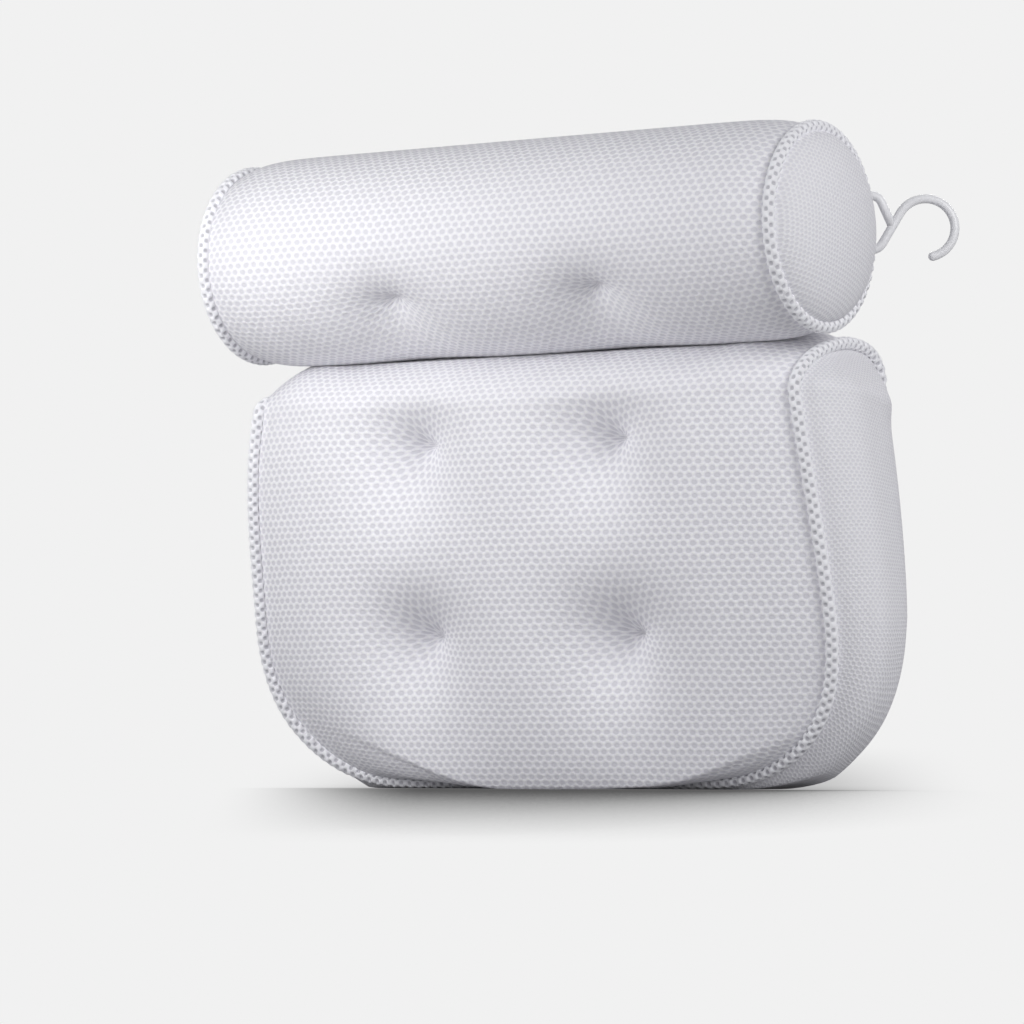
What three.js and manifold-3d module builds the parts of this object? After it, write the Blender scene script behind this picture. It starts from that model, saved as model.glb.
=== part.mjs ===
// Bath pillow: a boxed back pad that stands on its base, with a round headrest bolster folded
// forward on to the pad's top. Both are sewn from white spacer mesh round a soft core, with a
// corded bead on every seam, tufts in front, suction cups behind and a drying hook on a tab.
// Millimetres, +Z up, +X along the bolster, -Y to the front, origin under the pad's middle.

import * as THREE from 'three';
import { mergeVertices } from 'three/addons/utils/BufferGeometryUtils.js';
import Module from 'manifold-3d';

const wasm = await Module();
wasm.setup();

// Fabric, thread and the clearances between pieces that touch
const MESH_THICKNESS = 5;
const SEAM_CLEARANCE = 0.35;
const CORE_CLEARANCE = 0.6;
const BEAD_RADIUS = 3.5;
const BEAD_SIDES = 6;
const BEAD_ROUNDS = 16;
const THREAD_RADIUS = 0.8;
const THREAD_HOLE_CLEARANCE = 0.5;
const KNOT_RADIUS = 2;
const KNOT_DISC_RADIUS = 3;
const KNOT_DISC_THICKNESS = 1.2;
const KNOT_ANGLES = [90, 60, 30, 0, -30];
const TIE_SIDES = 8;

// Back pad: outline of the seam seen from the front
const PAD_WIDTH = 364;
const PAD_TOP_NARROWING = 13;
const PAD_NARROWING_CURVE = 1.6;
const PAD_BOTTOM_FLAT = 220;
const PAD_SEAM_LIFT = 10;
const PAD_CORNER_HEIGHT = 77;
const PAD_CORNER_ROUNDNESS = 2.25;
const PAD_SHOULDER_ABOVE_TUFT = 19;
const PAD_TOP_RISE = 26;

// Back pad: depth of the front and back seams, which lean apart towards the top
const PAD_FRONT_SEAM_TOP_Y = -50;
const PAD_FRONT_SEAM_LEAN = 32;
const PAD_BACK_SEAM_TOP_Y = 36;
const PAD_BACK_SEAM_LEAN = 16;
const PAD_BACK_INSET = 8;
const PAD_BACK_INSET_DROP = 60;
const PAD_LEAN_CURVE = 1.4;
const PAD_APEX_Y = 3;
const PAD_TOP_ROUNDNESS = 2.1;

// Back pad: fullness of the panels and of the side band
const PAD_FRONT_CROWN = 19;
const PAD_BACK_CROWN = 8;
const PAD_TOP_CROWN = 8;
const PAD_TOP_END_RISE = 6;
const PAD_TOP_END_COLUMNS = [0.66, 0.84];
const PAD_CROWN_FULLNESS = 3.5;
const PAD_TOP_FULLNESS = 8;
const PAD_SIDE_BULGE = 23;
const PAD_BASE_BULGE = 18;
const PAD_BASE_CUT = 0.5;
const PAD_LIP_START = 0.18;
const PAD_LIP_END = 0.5;
const PAD_LIP_RISE = 1.5;
const PAD_LIP_CURVE = 0.6;
const PAD_LIP_FULLNESS = 4.5;
const PAD_BAND_FULLNESS = 1.6;
const PAD_BAND_CURVE = 2.6;
const PAD_CORNER_SLACK = 0.4;
const PAD_BASE_BULGE_CURVE = 3;
const PAD_MITRE_LIMIT = 0.6;
const PAD_BAND_BLUNTNESS = 0.3;

// Back pad: places of the rows, columns and steps that its surface is drawn through
const PAD_BASE_ROWS = [0, 0.04, 0.2, 0.55];
const PAD_TOP_ANGLES = [22.5, 45, 67.5, 90];
const PAD_OUTER_COLUMNS = [0.38, 0.66, 0.86, 1];
const PAD_BAND_STEPS = [0, 0.17, 0.38, 0.62, 0.83, 1];

// Tufts of the pad: two columns by two rows
const PAD_TUFT_SPREAD = 126;
const PAD_TUFT_LOW = 81;
const PAD_TUFT_PITCH = 100;
const PAD_TUFT_DEPTH = 30;
const TUFT_REACH = 50;
const TUFT_SHARPNESS = 1.8;
const TUFT_STEP = 18;
const CUP_SEAT_DEPTH = 5;
const CUP_SEAT_RADIUS = 26;

// Headrest bolster, tipped forward so that its tufts look down to the front
const HEADREST_LENGTH = 350;
const HEADREST_END_RADIUS = 49;
const HEADREST_SWELL = 7.3;
const HEADREST_SWELL_CURVE = 16;
const HEADREST_END_BULGE = 18.5;
const HEADREST_DOME_CURVE = 0.5;
const HEADREST_DOME_SHARES = [0, 0.3, 0.58, 0.82, 0.95, 1];
const HEADREST_OUTER_STATIONS = [0.36, 0.68, 0.9, 1];
const HEADREST_BEAD_ANGLE = 60;
const HEADREST_CENTRE_Y = -39;
const HEADREST_SINK = 7.3;
const HEADREST_TIP = 40;
const HEADREST_TUFT_SPREAD = 126;
const HEADREST_TUFT_DEPTH = 18;
const HEADREST_SIDES = 24;
const PRESS_CLEARANCE = 1.5;

// Fold strip between the pad and the headrest
const STRIP_LENGTH = 230;
const STRIP_THICKNESS = 1.6;
const STRIP_START_TURN = 60;
const STRIP_ROWS = 3;

// Suction cups and the eyelet patches that hold them
const CUP_RADIUS = 22;
const CUP_REACH = 18;
const CUP_DISH_DEPTH = 3.6;
const CUP_RIM_WIDTH = 2.4;
const CUP_HEAD_RADIUS = 7.6;
const CUP_HEAD_THICKNESS = 2.1;
const CUP_HEAD_EDGE = 0.6;
const CUP_NECK_RADIUS = 2.8;
const CUP_BOSS_RADIUS = 5.5;
const CUP_BOSS_HEIGHT = 2;
const CUP_FLARE_CURVE = 1.3;
const CUP_FLARE_SHARES = [0, 0.35, 0.7, 1];
const CUP_DISH_SHARES = [1, 0.6, 0];
const PATCH_RADIUS = 17;
const PATCH_THICKNESS = 1.6;
const PATCH_ROOF_THICKNESS = 1.5;
const PATCH_CLEARANCE = 0.5;
const CUP_SIDES = 14;

// Drying hook, a bent rod with a loop that swings on a webbing tab
const HOOK_ROD_RADIUS = 2.35;
const HOOK_ROD_SIDES = 8;
const HOOK_LOOP_HEIGHT = 28.4;
const HOOK_LOOP_DEPTH = 9;
const HOOK_BOW_RADIUS = 15.2;
const HOOK_BOW_FORWARD = 24.3;
const HOOK_BOW_DROP = 2.8;
const HOOK_TIP_ANGLE = -76;
const HOOK_BOW_STEPS = 16;
const HOOK_ROUND_END = [0, 40, 70];
const HOOK_BRACE_SHARE = 0.64;
const HOOK_BRACE_SLIMNESS = 0.96;
const HOOK_HEADING = 33;
const HOOK_FROM_END = 14.7;
const HOOK_BEHIND_SLEEVE = 12.7;
const HOOK_ABOVE_AXIS = 9.5;
const TAB_WIDTH = 19;
const TAB_THICKNESS = 1.4;
const TAB_FOOT_LENGTH = 8;
const TAB_CLEARANCE = 0.4;
const TAB_FOOT_STEPS = 4;

// Small helpers for closed meshes

const radians = THREE.MathUtils.degToRad;

function mesh(name, geometry, finish) {
  const piece = new THREE.Mesh(geometry, new THREE.MeshStandardMaterial(finish));
  piece.name = name;
  return piece;
}

// A closed geometry from triangles of points: merged, without slivers, facing out.
function closedGeometry(triangles) {
  const raw = new THREE.BufferGeometry();
  raw.setAttribute('position', new THREE.Float32BufferAttribute(
    triangles.flatMap((point) => [point.x, point.y, point.z]), 3));
  const merged = mergeVertices(raw, 1e-3);
  const index = [];
  const corners = merged.index.array;
  for (let i = 0; i < corners.length; i += 3) {
    const [a, b, c] = [corners[i], corners[i + 1], corners[i + 2]];
    if (a !== b && b !== c && c !== a) index.push(a, b, c);
  }
  merged.setIndex(index);
  return facingOut(merged);
}

// Turns every triangle round if the mesh encloses a negative volume.
function facingOut(geometry) {
  const position = geometry.attributes.position;
  const index = geometry.index.array;
  const [a, b, c] = [new THREE.Vector3(), new THREE.Vector3(), new THREE.Vector3()];
  let volume = 0;
  for (let i = 0; i < index.length; i += 3) {
    a.fromBufferAttribute(position, index[i]);
    b.fromBufferAttribute(position, index[i + 1]);
    c.fromBufferAttribute(position, index[i + 2]);
    volume += a.dot(b.cross(c));
  }
  if (volume < 0) {
    const turned = [];
    for (let i = 0; i < index.length; i += 3) turned.push(index[i], index[i + 2], index[i + 1]);
    geometry.setIndex(turned);
  }
  geometry.computeVertexNormals();
  return geometry;
}

// Triangles of a grid of points, rows by columns; a wrapped grid joins its last row to its first.
// Every quad is split on the same diagonal, so that grids at two depths stay parallel.
function gridTriangles(rows, wrapped = false) {
  const triangles = [];
  const last = wrapped ? rows.length : rows.length - 1;
  for (let i = 0; i < last; i += 1) {
    const [near, far] = [rows[i], rows[(i + 1) % rows.length]];
    for (let j = 0; j < near.length - 1; j += 1) {
      triangles.push(near[j], far[j], far[j + 1], near[j], far[j + 1], near[j + 1]);
    }
  }
  return triangles;
}

// The same triangles seen from the other side.
function turnedTriangles(triangles) {
  const turned = [];
  for (let i = 0; i < triangles.length; i += 3) turned.push(triangles[i], triangles[i + 2], triangles[i + 1]);
  return turned;
}

// A sheet of fabric: an outer and an inner grid, closed along the edges that are open.
// Two sheets that meet on a seam split their edge faces on opposite diagonals of their own.
function sheetGeometry(outer, inner, { wrapped = false, otherDiagonal = false } = {}) {
  const swapped = (pairs) => pairs.map(([a, b]) => [b, a]);
  const edgeFace = (pairs) => (otherDiagonal
    ? turnedTriangles(gridTriangles(swapped(pairs), wrapped)) : gridTriangles(pairs, wrapped));
  const triangles = [...gridTriangles(outer, wrapped), ...turnedTriangles(gridTriangles(inner, wrapped))];
  const edge = (column) => outer.map((row, i) => [row[column], inner[i][column]]);
  triangles.push(...edgeFace(swapped(edge(0))));
  triangles.push(...edgeFace(edge(outer[0].length - 1)));
  if (!wrapped) {
    const end = (i) => outer[i].map((point, j) => [point, inner[i][j]]);
    triangles.push(...edgeFace(end(0)));
    triangles.push(...edgeFace(swapped(end(outer.length - 1))));
  }
  return closedGeometry(triangles);
}

// Outward normals of a grid, each the mean of the quads round its point weighed by area.
function gridNormals(rows, wrapped = false) {
  const sums = rows.map((row) => row.map(() => new THREE.Vector3()));
  const last = wrapped ? rows.length : rows.length - 1;
  for (let i = 0; i < last; i += 1) {
    const next = (i + 1) % rows.length;
    for (let j = 0; j < rows[i].length - 1; j += 1) {
      const rising = rows[next][j + 1].clone().sub(rows[i][j]);
      const falling = rows[next][j].clone().sub(rows[i][j + 1]);
      const area = rising.cross(falling);
      for (const sum of [sums[i][j], sums[i][j + 1], sums[next][j], sums[next][j + 1]]) sum.add(area);
    }
  }
  return sums.map((row) => row.map((sum) => sum.normalize()));
}

function offsetGrid(rows, normals, distance) {
  return rows.map((row, i) => row.map((point, j) => (
    point.clone().addScaledVector(normals[i][j], distance))));
}

function toSolid(geometry) {
  const bare = geometry.clone();
  bare.deleteAttribute('normal');
  bare.deleteAttribute('uv');
  const merged = mergeVertices(bare, 1e-3);
  return new wasm.Manifold(new wasm.Mesh({
    numProp: 3,
    vertProperties: Float32Array.from(merged.attributes.position.array),
    triVerts: Uint32Array.from(merged.index.array),
  }));
}

function fromSolid(solid) {
  const result = solid.getMesh();
  const geometry = new THREE.BufferGeometry();
  geometry.setAttribute('position', new THREE.Float32BufferAttribute(result.vertProperties, 3));
  geometry.setIndex(Array.from(result.triVerts));
  geometry.computeVertexNormals();
  return geometry;
}

// What is left of a solid after its cutters, without any loose crumb.
function cut(geometry, cutters) {
  const rest = cutters.reduce((solid, cutter) => solid.subtract(toSolid(cutter)), toSolid(geometry));
  return fromSolid(rest.decompose().reduce((most, piece) => (piece.volume() > most.volume() ? piece : most)));
}

function join(geometries) {
  return fromSolid(geometries.map(toSolid).reduce((whole, next) => whole.add(next)));
}

// Revolves a profile of [radius, height] pairs; height becomes the way along +Y.
function revolve(profile, sides) {
  const points = profile.map(([radius, height]) => new THREE.Vector2(radius, height));
  const geometry = new THREE.LatheGeometry(points, sides);
  geometry.deleteAttribute('normal');
  geometry.deleteAttribute('uv');
  const loose = geometry.toNonIndexed().attributes.position;
  const corners = Array.from({ length: loose.count }, (_, i) => (
    new THREE.Vector3().fromBufferAttribute(loose, i)));
  return closedGeometry(corners);
}

// Share of a tuft's depth that is left at a distance from its stitch.
function tuftShare(distance) {
  return Math.max(0, 1 - distance / TUFT_REACH) ** TUFT_SHARPNESS;
}

// Way from the bottom of a tuft to the middle of the knot that nests between its steepest walls.
function knotStandOff(rows, row, column) {
  const bottom = rows[row][column];
  const slope = (wall) => (bottom.y - wall.y) / Math.hypot(wall.x - bottom.x, wall.z - bottom.z);
  const upAndDown = Math.max(slope(rows[row - 1][column]), slope(rows[row + 1][column]));
  const across = Math.max(slope(rows[row][column - 1]), slope(rows[row][column + 1]));
  return (KNOT_RADIUS + 2 * SEAM_CLEARANCE) * Math.hypot(1, upAndDown, across);
}

// Surface of the back pad

const padHalfWidth = PAD_WIDTH / 2;
const tuftHigh = PAD_TUFT_LOW + PAD_TUFT_PITCH;
const shoulderHeight = tuftHigh + PAD_SHOULDER_ABOVE_TUFT;
const cornerTop = PAD_SEAM_LIFT + PAD_CORNER_HEIGHT;

// Half the seam's width at a height: a rounded lower corner, then a slight narrowing upwards.
function seamHalfWidth(height) {
  if (height < cornerTop) {
    const drop = Math.min(1, (cornerTop - height) / PAD_CORNER_HEIGHT);
    const swing = (1 - drop ** PAD_CORNER_ROUNDNESS) ** (1 / PAD_CORNER_ROUNDNESS);
    return PAD_BOTTOM_FLAT / 2 + (padHalfWidth - PAD_BOTTOM_FLAT / 2) * swing;
  }
  const rise = Math.min(1, (height - cornerTop) / (shoulderHeight - cornerTop));
  return padHalfWidth - PAD_TOP_NARROWING * rise ** PAD_NARROWING_CURVE;
}

function leanShare(height) {
  return Math.max(0, 1 - height / tuftHigh) ** PAD_LEAN_CURVE;
}

// Front and back of the pad share one set of rules, told apart by the side's own values.
const padFront = {
  sign: -1,
  seamY: (height) => PAD_FRONT_SEAM_TOP_Y + PAD_FRONT_SEAM_LEAN * leanShare(height),
  crown: PAD_FRONT_CROWN,
  inset: 0,
  hangs: 1,
};
const padBack = {
  sign: 1,
  seamY: (height) => PAD_BACK_SEAM_TOP_Y - PAD_BACK_SEAM_LEAN * leanShare(height),
  crown: PAD_BACK_CROWN,
  inset: PAD_BACK_INSET,
  hangs: 0,
};

// Rows up one side: base edge, lower corner, tuft rows, shoulder, then the arc over the top.
const cornerRow = PAD_TUFT_LOW - 2 * TUFT_STEP;
const tuftGap = PAD_TUFT_PITCH - 2 * TUFT_STEP;
const rowHeights = [
  ...PAD_BASE_ROWS.map((share) => PAD_SEAM_LIFT + (cornerRow - PAD_SEAM_LIFT) * share),
  cornerRow,
  PAD_TUFT_LOW - TUFT_STEP,
  PAD_TUFT_LOW,
  PAD_TUFT_LOW + TUFT_STEP,
  PAD_TUFT_LOW + TUFT_STEP + tuftGap / 3,
  PAD_TUFT_LOW + TUFT_STEP + tuftGap * 2 / 3,
  tuftHigh - TUFT_STEP,
  tuftHigh,
  shoulderHeight,
];
const baseTurnHeight = PAD_TUFT_LOW - TUFT_STEP;

// Columns across: the tuft's column has a neighbour one tuft step away on either side.
const tuftColumn = PAD_TUFT_SPREAD / PAD_WIDTH;
const tuftStepColumn = TUFT_STEP / padHalfWidth;
const outerColumns = PAD_OUTER_COLUMNS.map((share) => (
  tuftColumn + tuftStepColumn + (1 - tuftColumn - tuftStepColumn) * share));
const halfColumns = [tuftColumn - tuftStepColumn, tuftColumn, tuftColumn + tuftStepColumn, ...outerColumns];
const columns = [...halfColumns.map((share) => -share).reverse(), 0, ...halfColumns];
const tuftColumnIndex = columns.indexOf(tuftColumn);

// The headrest lies on the pad's top and sinks into it a little.
const headrestFull = HEADREST_END_RADIUS + HEADREST_SWELL;
const headrestZ = shoulderHeight + PAD_TOP_RISE + PAD_TOP_CROWN + headrestFull - HEADREST_SINK;

// Radius of the headrest's sleeve at a distance along it from its middle.
function headrestRadius(along) {
  const share = Math.min(1, Math.abs(along) / (HEADREST_LENGTH / 2));
  return HEADREST_END_RADIUS + HEADREST_SWELL * (1 - share ** HEADREST_SWELL_CURVE);
}

// The weight of the headrest presses the pad's top back to the sleeve's own radius.
function pressed(point) {
  const y = point.y - HEADREST_CENTRE_Y;
  const z = point.z - headrestZ;
  const reach = headrestRadius(point.x) + PRESS_CLEARANCE;
  const distance = Math.hypot(y, z);
  if (distance < reach) {
    point.y = HEADREST_CENTRE_Y + y * reach / distance;
    point.z = headrestZ + z * reach / distance;
  }
  return point;
}

// Depth of the cups' seats and the bottoms of the tufts, each on its own flat spot.
function backSurfaceY(height) {
  return padBack.seamY(height) + padBack.crown;
}

function cupSeatY(height) {
  return backSurfaceY(height) - CUP_SEAT_DEPTH;
}

function tuftBottomY(height) {
  return padFront.seamY(height) - padFront.crown + PAD_TUFT_DEPTH;
}

// Middle line of a panel at a row below the shoulder: it leaves the base seam, turns up and then
// stands off the seam by the crown. The front hangs below its seam and lies flat on the floor first.
function middleOfRow(side, height) {
  const full = (at) => side.seamY(at) + side.sign * side.crown;
  if (height >= baseTurnHeight) return { y: full(height), z: height };
  const share = (height - PAD_SEAM_LIFT) / (baseTurnHeight - PAD_SEAM_LIFT);
  const edgeY = side.seamY(PAD_SEAM_LIFT);
  const out = Math.sin(share * Math.PI / 2) ** PAD_LIP_CURVE;
  const up = Math.max(0, (share - PAD_LIP_END) / (1 - PAD_LIP_END)) ** PAD_LIP_RISE;
  const drop = Math.max(0, 1 - share / PAD_LIP_START) ** 2;
  const hanging = baseTurnHeight * up + PAD_SEAM_LIFT * drop;
  return {
    y: edgeY + (full(baseTurnHeight) - edgeY) * out,
    z: height + (hanging - height) * side.hangs,
  };
}

// How far a side's seam lies inside the front one: nothing at the shoulder, all of it lower down.
function seamInsetX(side, height) {
  const drop = shoulderHeight - height;
  return side.inset * THREE.MathUtils.smoothstep(drop, 0, PAD_BACK_INSET_DROP);
}

// A point of a panel below the shoulder, with its tuft or cup seat worked in.
function sidePoint(side, column, height) {
  const width = seamHalfWidth(height) - seamInsetX(side, height);
  const edge = Math.abs(column) ** PAD_CROWN_FULLNESS;
  const middle = middleOfRow(side, height);
  const x = column * width;
  let y = middle.y + (side.seamY(height) - middle.y) * edge;
  const lipEdge = Math.abs(column) ** (height < baseTurnHeight ? PAD_LIP_FULLNESS : PAD_CROWN_FULLNESS);
  const z = middle.z + (height - middle.z) * lipEdge;
  for (const tuftHeight of [PAD_TUFT_LOW, tuftHigh]) {
    const distance = Math.hypot((Math.abs(column) - tuftColumn) * width, z - tuftHeight);
    if (side === padFront) {
      y += PAD_TUFT_DEPTH * tuftShare(distance) * (1 - edge);
    } else {
      const past = THREE.MathUtils.smoothstep(distance, CUP_SEAT_RADIUS, TUFT_REACH);
      y = cupSeatY(tuftHeight) + (y - cupSeatY(tuftHeight)) * past;
    }
  }
  const isBaseEdge = height === PAD_SEAM_LIFT;
  return new THREE.Vector3(x, y, isBaseEdge ? PAD_SEAM_LIFT : Math.max(0, z - PAD_BASE_CUT * (1 - edge)));
}

// A point of the panel where it turns over the top, angle 0 at the shoulder and 90 at the apex.
function topPoint(side, column, angle) {
  const turn = radians(angle);
  const bend = 2 / PAD_TOP_ROUNDNESS;
  const lie = Math.max(0, Math.cos(turn)) ** bend;
  const rise = Math.sin(turn) ** bend;
  const fullness = PAD_CROWN_FULLNESS + (PAD_TOP_FULLNESS - PAD_CROWN_FULLNESS) * Math.sin(turn);
  const edge = Math.abs(column) ** fullness;
  const topCrown = PAD_TOP_CROWN
    + PAD_TOP_END_RISE * THREE.MathUtils.smoothstep(Math.abs(column), ...PAD_TOP_END_COLUMNS);
  const crown = (side.crown + (topCrown - side.crown) * Math.sin(turn)) * (1 - edge);
  const x = column * seamHalfWidth(shoulderHeight);
  const y = PAD_APEX_Y + (side.seamY(shoulderHeight) - PAD_APEX_Y) * lie + side.sign * crown * Math.cos(turn);
  const z = shoulderHeight + PAD_TOP_RISE * rise + crown * Math.sin(turn);
  return new THREE.Vector3(x, y, z);
}

function panelRow(side, { height, angle }) {
  return columns.map((column) => pressed(
    height === undefined ? topPoint(side, column, angle) : sidePoint(side, column, height)));
}

const halfRows = [...rowHeights.map((height) => ({ height })), ...PAD_TOP_ANGLES.map((angle) => ({ angle }))];
const apexRow = halfRows.length - 1;
const backRow = 2 * apexRow;
const lastColumn = columns.length - 1;
const panelOuter = [
  ...halfRows.map((row) => panelRow(padFront, row)),
  ...halfRows.slice(0, -1).reverse().map((row) => panelRow(padBack, row)),
];

// The side band runs from one apex down the side, along the base and up to the other apex.
// Each of its places names the panel's front row and column and the matching back row.
const bandPlaces = [];
for (let row = apexRow; row > 0; row -= 1) bandPlaces.push({ row, column: 0 });
for (let column = 0; column <= lastColumn; column += 1) bandPlaces.push({ row: 0, column });
for (let row = 1; row <= apexRow; row += 1) bandPlaces.push({ row, column: lastColumn });

function bandFront({ row, column }) {
  return panelOuter[row][column];
}

function bandBack({ row, column }) {
  return panelOuter[backRow - row][column];
}

// Outward direction of the band at a place, square to the seam as seen from the front.
function bandOutward(place) {
  const before = bandFront(bandPlaces[Math.max(0, place - 1)]);
  const after = bandFront(bandPlaces[Math.min(bandPlaces.length - 1, place + 1)]);
  return new THREE.Vector3(after.z - before.z, 0, before.x - after.x).normalize();
}

const bandWidest = Math.max(...bandPlaces.map((place) => bandFront(place).distanceTo(bandBack(place))));
const bandOuter = bandPlaces.map((place, i) => {
  const [front, back] = [bandFront(place), bandBack(place)];
  const outward = bandOutward(i);
  const fullness = Math.min(1, PAD_BAND_FULLNESS * front.distanceTo(back) / bandWidest);
  const downward = Math.max(0, -outward.z) ** PAD_BASE_BULGE_CURVE;
  const slack = PAD_CORNER_SLACK * 2 * Math.abs(outward.x) * Math.max(0, -outward.z);
  const bulge = fullness * (1 - slack) * (PAD_SIDE_BULGE + (PAD_BASE_BULGE - PAD_SIDE_BULGE) * downward);
  return PAD_BAND_STEPS.map((step) => {
    const point = front.clone().lerp(back, step);
    point.addScaledVector(outward, bulge * (1 - Math.abs(2 * step - 1) ** PAD_BAND_CURVE));
    const isEdge = step === 0 || step === 1;
    return isEdge ? point : point.setZ(Math.max(0, point.z));
  });
});

const panelNormals = gridNormals(panelOuter);
const bandNormals = gridNormals(bandOuter);
bandNormals[0] = bandNormals[1];
bandNormals[bandNormals.length - 1] = bandNormals[bandNormals.length - 2];

// The seam: every edge place of the panel, with the mean outward direction of both fabrics.
const seamLoop = [];
bandPlaces.forEach((place, i) => seamLoop.push({ row: place.row, column: place.column, band: i, step: 0 }));
bandPlaces.slice(1, -1).reverse().forEach((place) => seamLoop.push({
  row: backRow - place.row,
  column: place.column,
  band: bandPlaces.indexOf(place),
  step: PAD_BAND_STEPS.length - 1,
}));
for (const place of seamLoop) {
  place.point = panelOuter[place.row][place.column];
  const panelNormal = panelNormals[place.row][place.column];
  place.outward = panelNormal.clone().add(bandNormals[place.band][place.step]).normalize();
  place.mitre = 1 / Math.max(PAD_MITRE_LIMIT, place.outward.dot(panelNormal));
}
seamLoop.forEach((place, i) => {
  const isCorner = [0, backRow].includes(place.row) && [0, lastColumn].includes(place.column);
  if (!isCorner) return;
  const before = seamLoop[(i + seamLoop.length - 1) % seamLoop.length];
  const after = seamLoop[(i + 1) % seamLoop.length];
  place.outward = before.outward.clone().add(after.outward).normalize();
  place.mitre = (before.mitre + after.mitre) / 2;
});

// Middle line of the bead: out from the seam until it clears both fabrics, at every place and
// half way to the next, so further out where they form a groove on the base.
const fabricCorners = [...gridTriangles(panelOuter), ...gridTriangles(bandOuter)];
const fabricTriangles = Array.from({ length: fabricCorners.length / 3 }, (_, i) => (
  new THREE.Triangle(...fabricCorners.slice(3 * i, 3 * i + 3))));
const beadRoom = BEAD_RADIUS + SEAM_CLEARANCE;

function isClear(middle) {
  const nearest = new THREE.Vector3();
  return fabricTriangles.every((triangle) => (
    triangle.closestPointToPoint(middle, nearest).distanceTo(middle) > beadRoom));
}

function beadLine() {
  const standOffs = seamLoop.map(() => beadRoom);
  const middleAt = (i) => {
    const { point, outward } = seamLoop[i];
    const middle = point.clone().addScaledVector(outward, standOffs[i]);
    return middle.setZ(Math.max(middle.z, beadRoom));
  };
  for (let round = 0; round < BEAD_ROUNDS; round += 1) {
    for (let i = 0; i < seamLoop.length; i += 1) {
      const next = (i + 1) % seamLoop.length;
      if (!isClear(middleAt(i))) standOffs[i] += SEAM_CLEARANCE;
      if (isClear(middleAt(i).lerp(middleAt(next), 0.5))) continue;
      standOffs[i] += SEAM_CLEARANCE / 2;
      standOffs[next] += SEAM_CLEARANCE / 2;
    }
  }
  return seamLoop.map((_, i) => middleAt(i));
}

function seamInset(place, depth) {
  return place.point.clone().addScaledVector(place.outward, -depth * place.mitre);
}

// Panel and band grids at a depth under the fabric's face; both meet on the same inset seam.
function padGrids(depth) {
  const panel = offsetGrid(panelOuter, panelNormals, -depth);
  const band = offsetGrid(bandOuter, bandNormals, -depth);
  for (const place of seamLoop) {
    const inset = seamInset(place, depth);
    panel[place.row][place.column] = inset;
    band[place.band][place.step] = inset;
  }
  for (const pole of [0, band.length - 1]) {
    band[pole] = band[pole].map(() => band[pole][0]);
  }
  return { panel, band };
}

// Draws the edge rows and columns of a grid back from the seam by the clearance.
function drawBack(rows) {
  const result = rows.map((row) => row.map((point) => point.clone()));
  const [lastRow, last] = [rows.length - 1, rows[0].length - 1];
  const towards = (i, j, k, l) => {
    const way = rows[k][l].clone().sub(rows[i][j]).normalize();
    result[i][j].addScaledVector(way, SEAM_CLEARANCE);
  };
  for (let i = 0; i <= lastRow; i += 1) {
    towards(i, 0, i, 1);
    towards(i, last, i, last - 1);
  }
  for (let j = 0; j <= last; j += 1) {
    towards(0, j, 1, j);
    towards(lastRow, j, lastRow - 1, j);
  }
  return result;
}

// The band's pointed ends stop short of the apex, where the bead closes the seam.
function bluntEnds(rows) {
  const final = rows.length - 1;
  return rows.map((row, i) => {
    if (i !== 0 && i !== final) return row;
    const next = rows[i === 0 ? 1 : final - 1];
    return row.map((point, j) => point.clone().lerp(next[j], PAD_BAND_BLUNTNESS));
  });
}

// Tie threads, knots, eyelet patches and suction cups, made along +Y at one seat

const seatLift = SEAM_CLEARANCE;
const knotTop = seatLift + KNOT_DISC_THICKNESS;
const headBottom = knotTop + PATCH_CLEARANCE;
const headTop = headBottom + CUP_HEAD_THICKNESS;
const roofBottom = headTop + PATCH_CLEARANCE;
const roofTop = roofBottom + PATCH_ROOF_THICKNESS;
const bossBottom = roofTop + PATCH_CLEARANCE;
const pocketRadius = CUP_HEAD_RADIUS + 2 * PATCH_CLEARANCE;
const pocketOuter = pocketRadius + PATCH_ROOF_THICKNESS;

// Thread with a round knot in the tuft and a flat knot behind, from tuft bottom to cup seat.
function tieGeometry(tuftY, seatY, standOff) {
  const knotMiddle = tuftY - standOff;
  const knot = KNOT_ANGLES.map((angle) => [
    KNOT_RADIUS * Math.cos(radians(angle)), knotMiddle - KNOT_RADIUS * Math.sin(radians(angle))]);
  knot[0][0] = 0;
  return revolve([
    ...knot,
    [THREAD_RADIUS, knotMiddle + Math.sqrt(KNOT_RADIUS ** 2 - THREAD_RADIUS ** 2)],
    [THREAD_RADIUS, seatY + seatLift],
    [KNOT_DISC_RADIUS, seatY + seatLift],
    [KNOT_DISC_RADIUS, seatY + knotTop],
    [0, seatY + knotTop],
  ], TIE_SIDES);
}

function threadHole(tuftY, seatY) {
  const radius = THREAD_RADIUS + THREAD_HOLE_CLEARANCE;
  const margin = 2 * MESH_THICKNESS;
  const [start, end] = [tuftY - margin, seatY + margin];
  return revolve([[0, start], [radius, start], [radius, end], [0, end]], TIE_SIDES);
}

function patchGeometry() {
  const neckHole = CUP_NECK_RADIUS + PATCH_CLEARANCE;
  return revolve([
    [pocketRadius, seatLift],
    [PATCH_RADIUS, seatLift],
    [PATCH_RADIUS, seatLift + PATCH_THICKNESS / 2],
    [PATCH_RADIUS - PATCH_THICKNESS / 2, seatLift + PATCH_THICKNESS],
    [pocketOuter, seatLift + PATCH_THICKNESS],
    [pocketOuter, roofTop - PATCH_ROOF_THICKNESS / 2],
    [pocketOuter - PATCH_ROOF_THICKNESS / 2, roofTop],
    [neckHole, roofTop],
    [neckHole, roofBottom],
    [pocketRadius, roofBottom],
    [pocketRadius, seatLift],
  ], CUP_SIDES);
}

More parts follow.
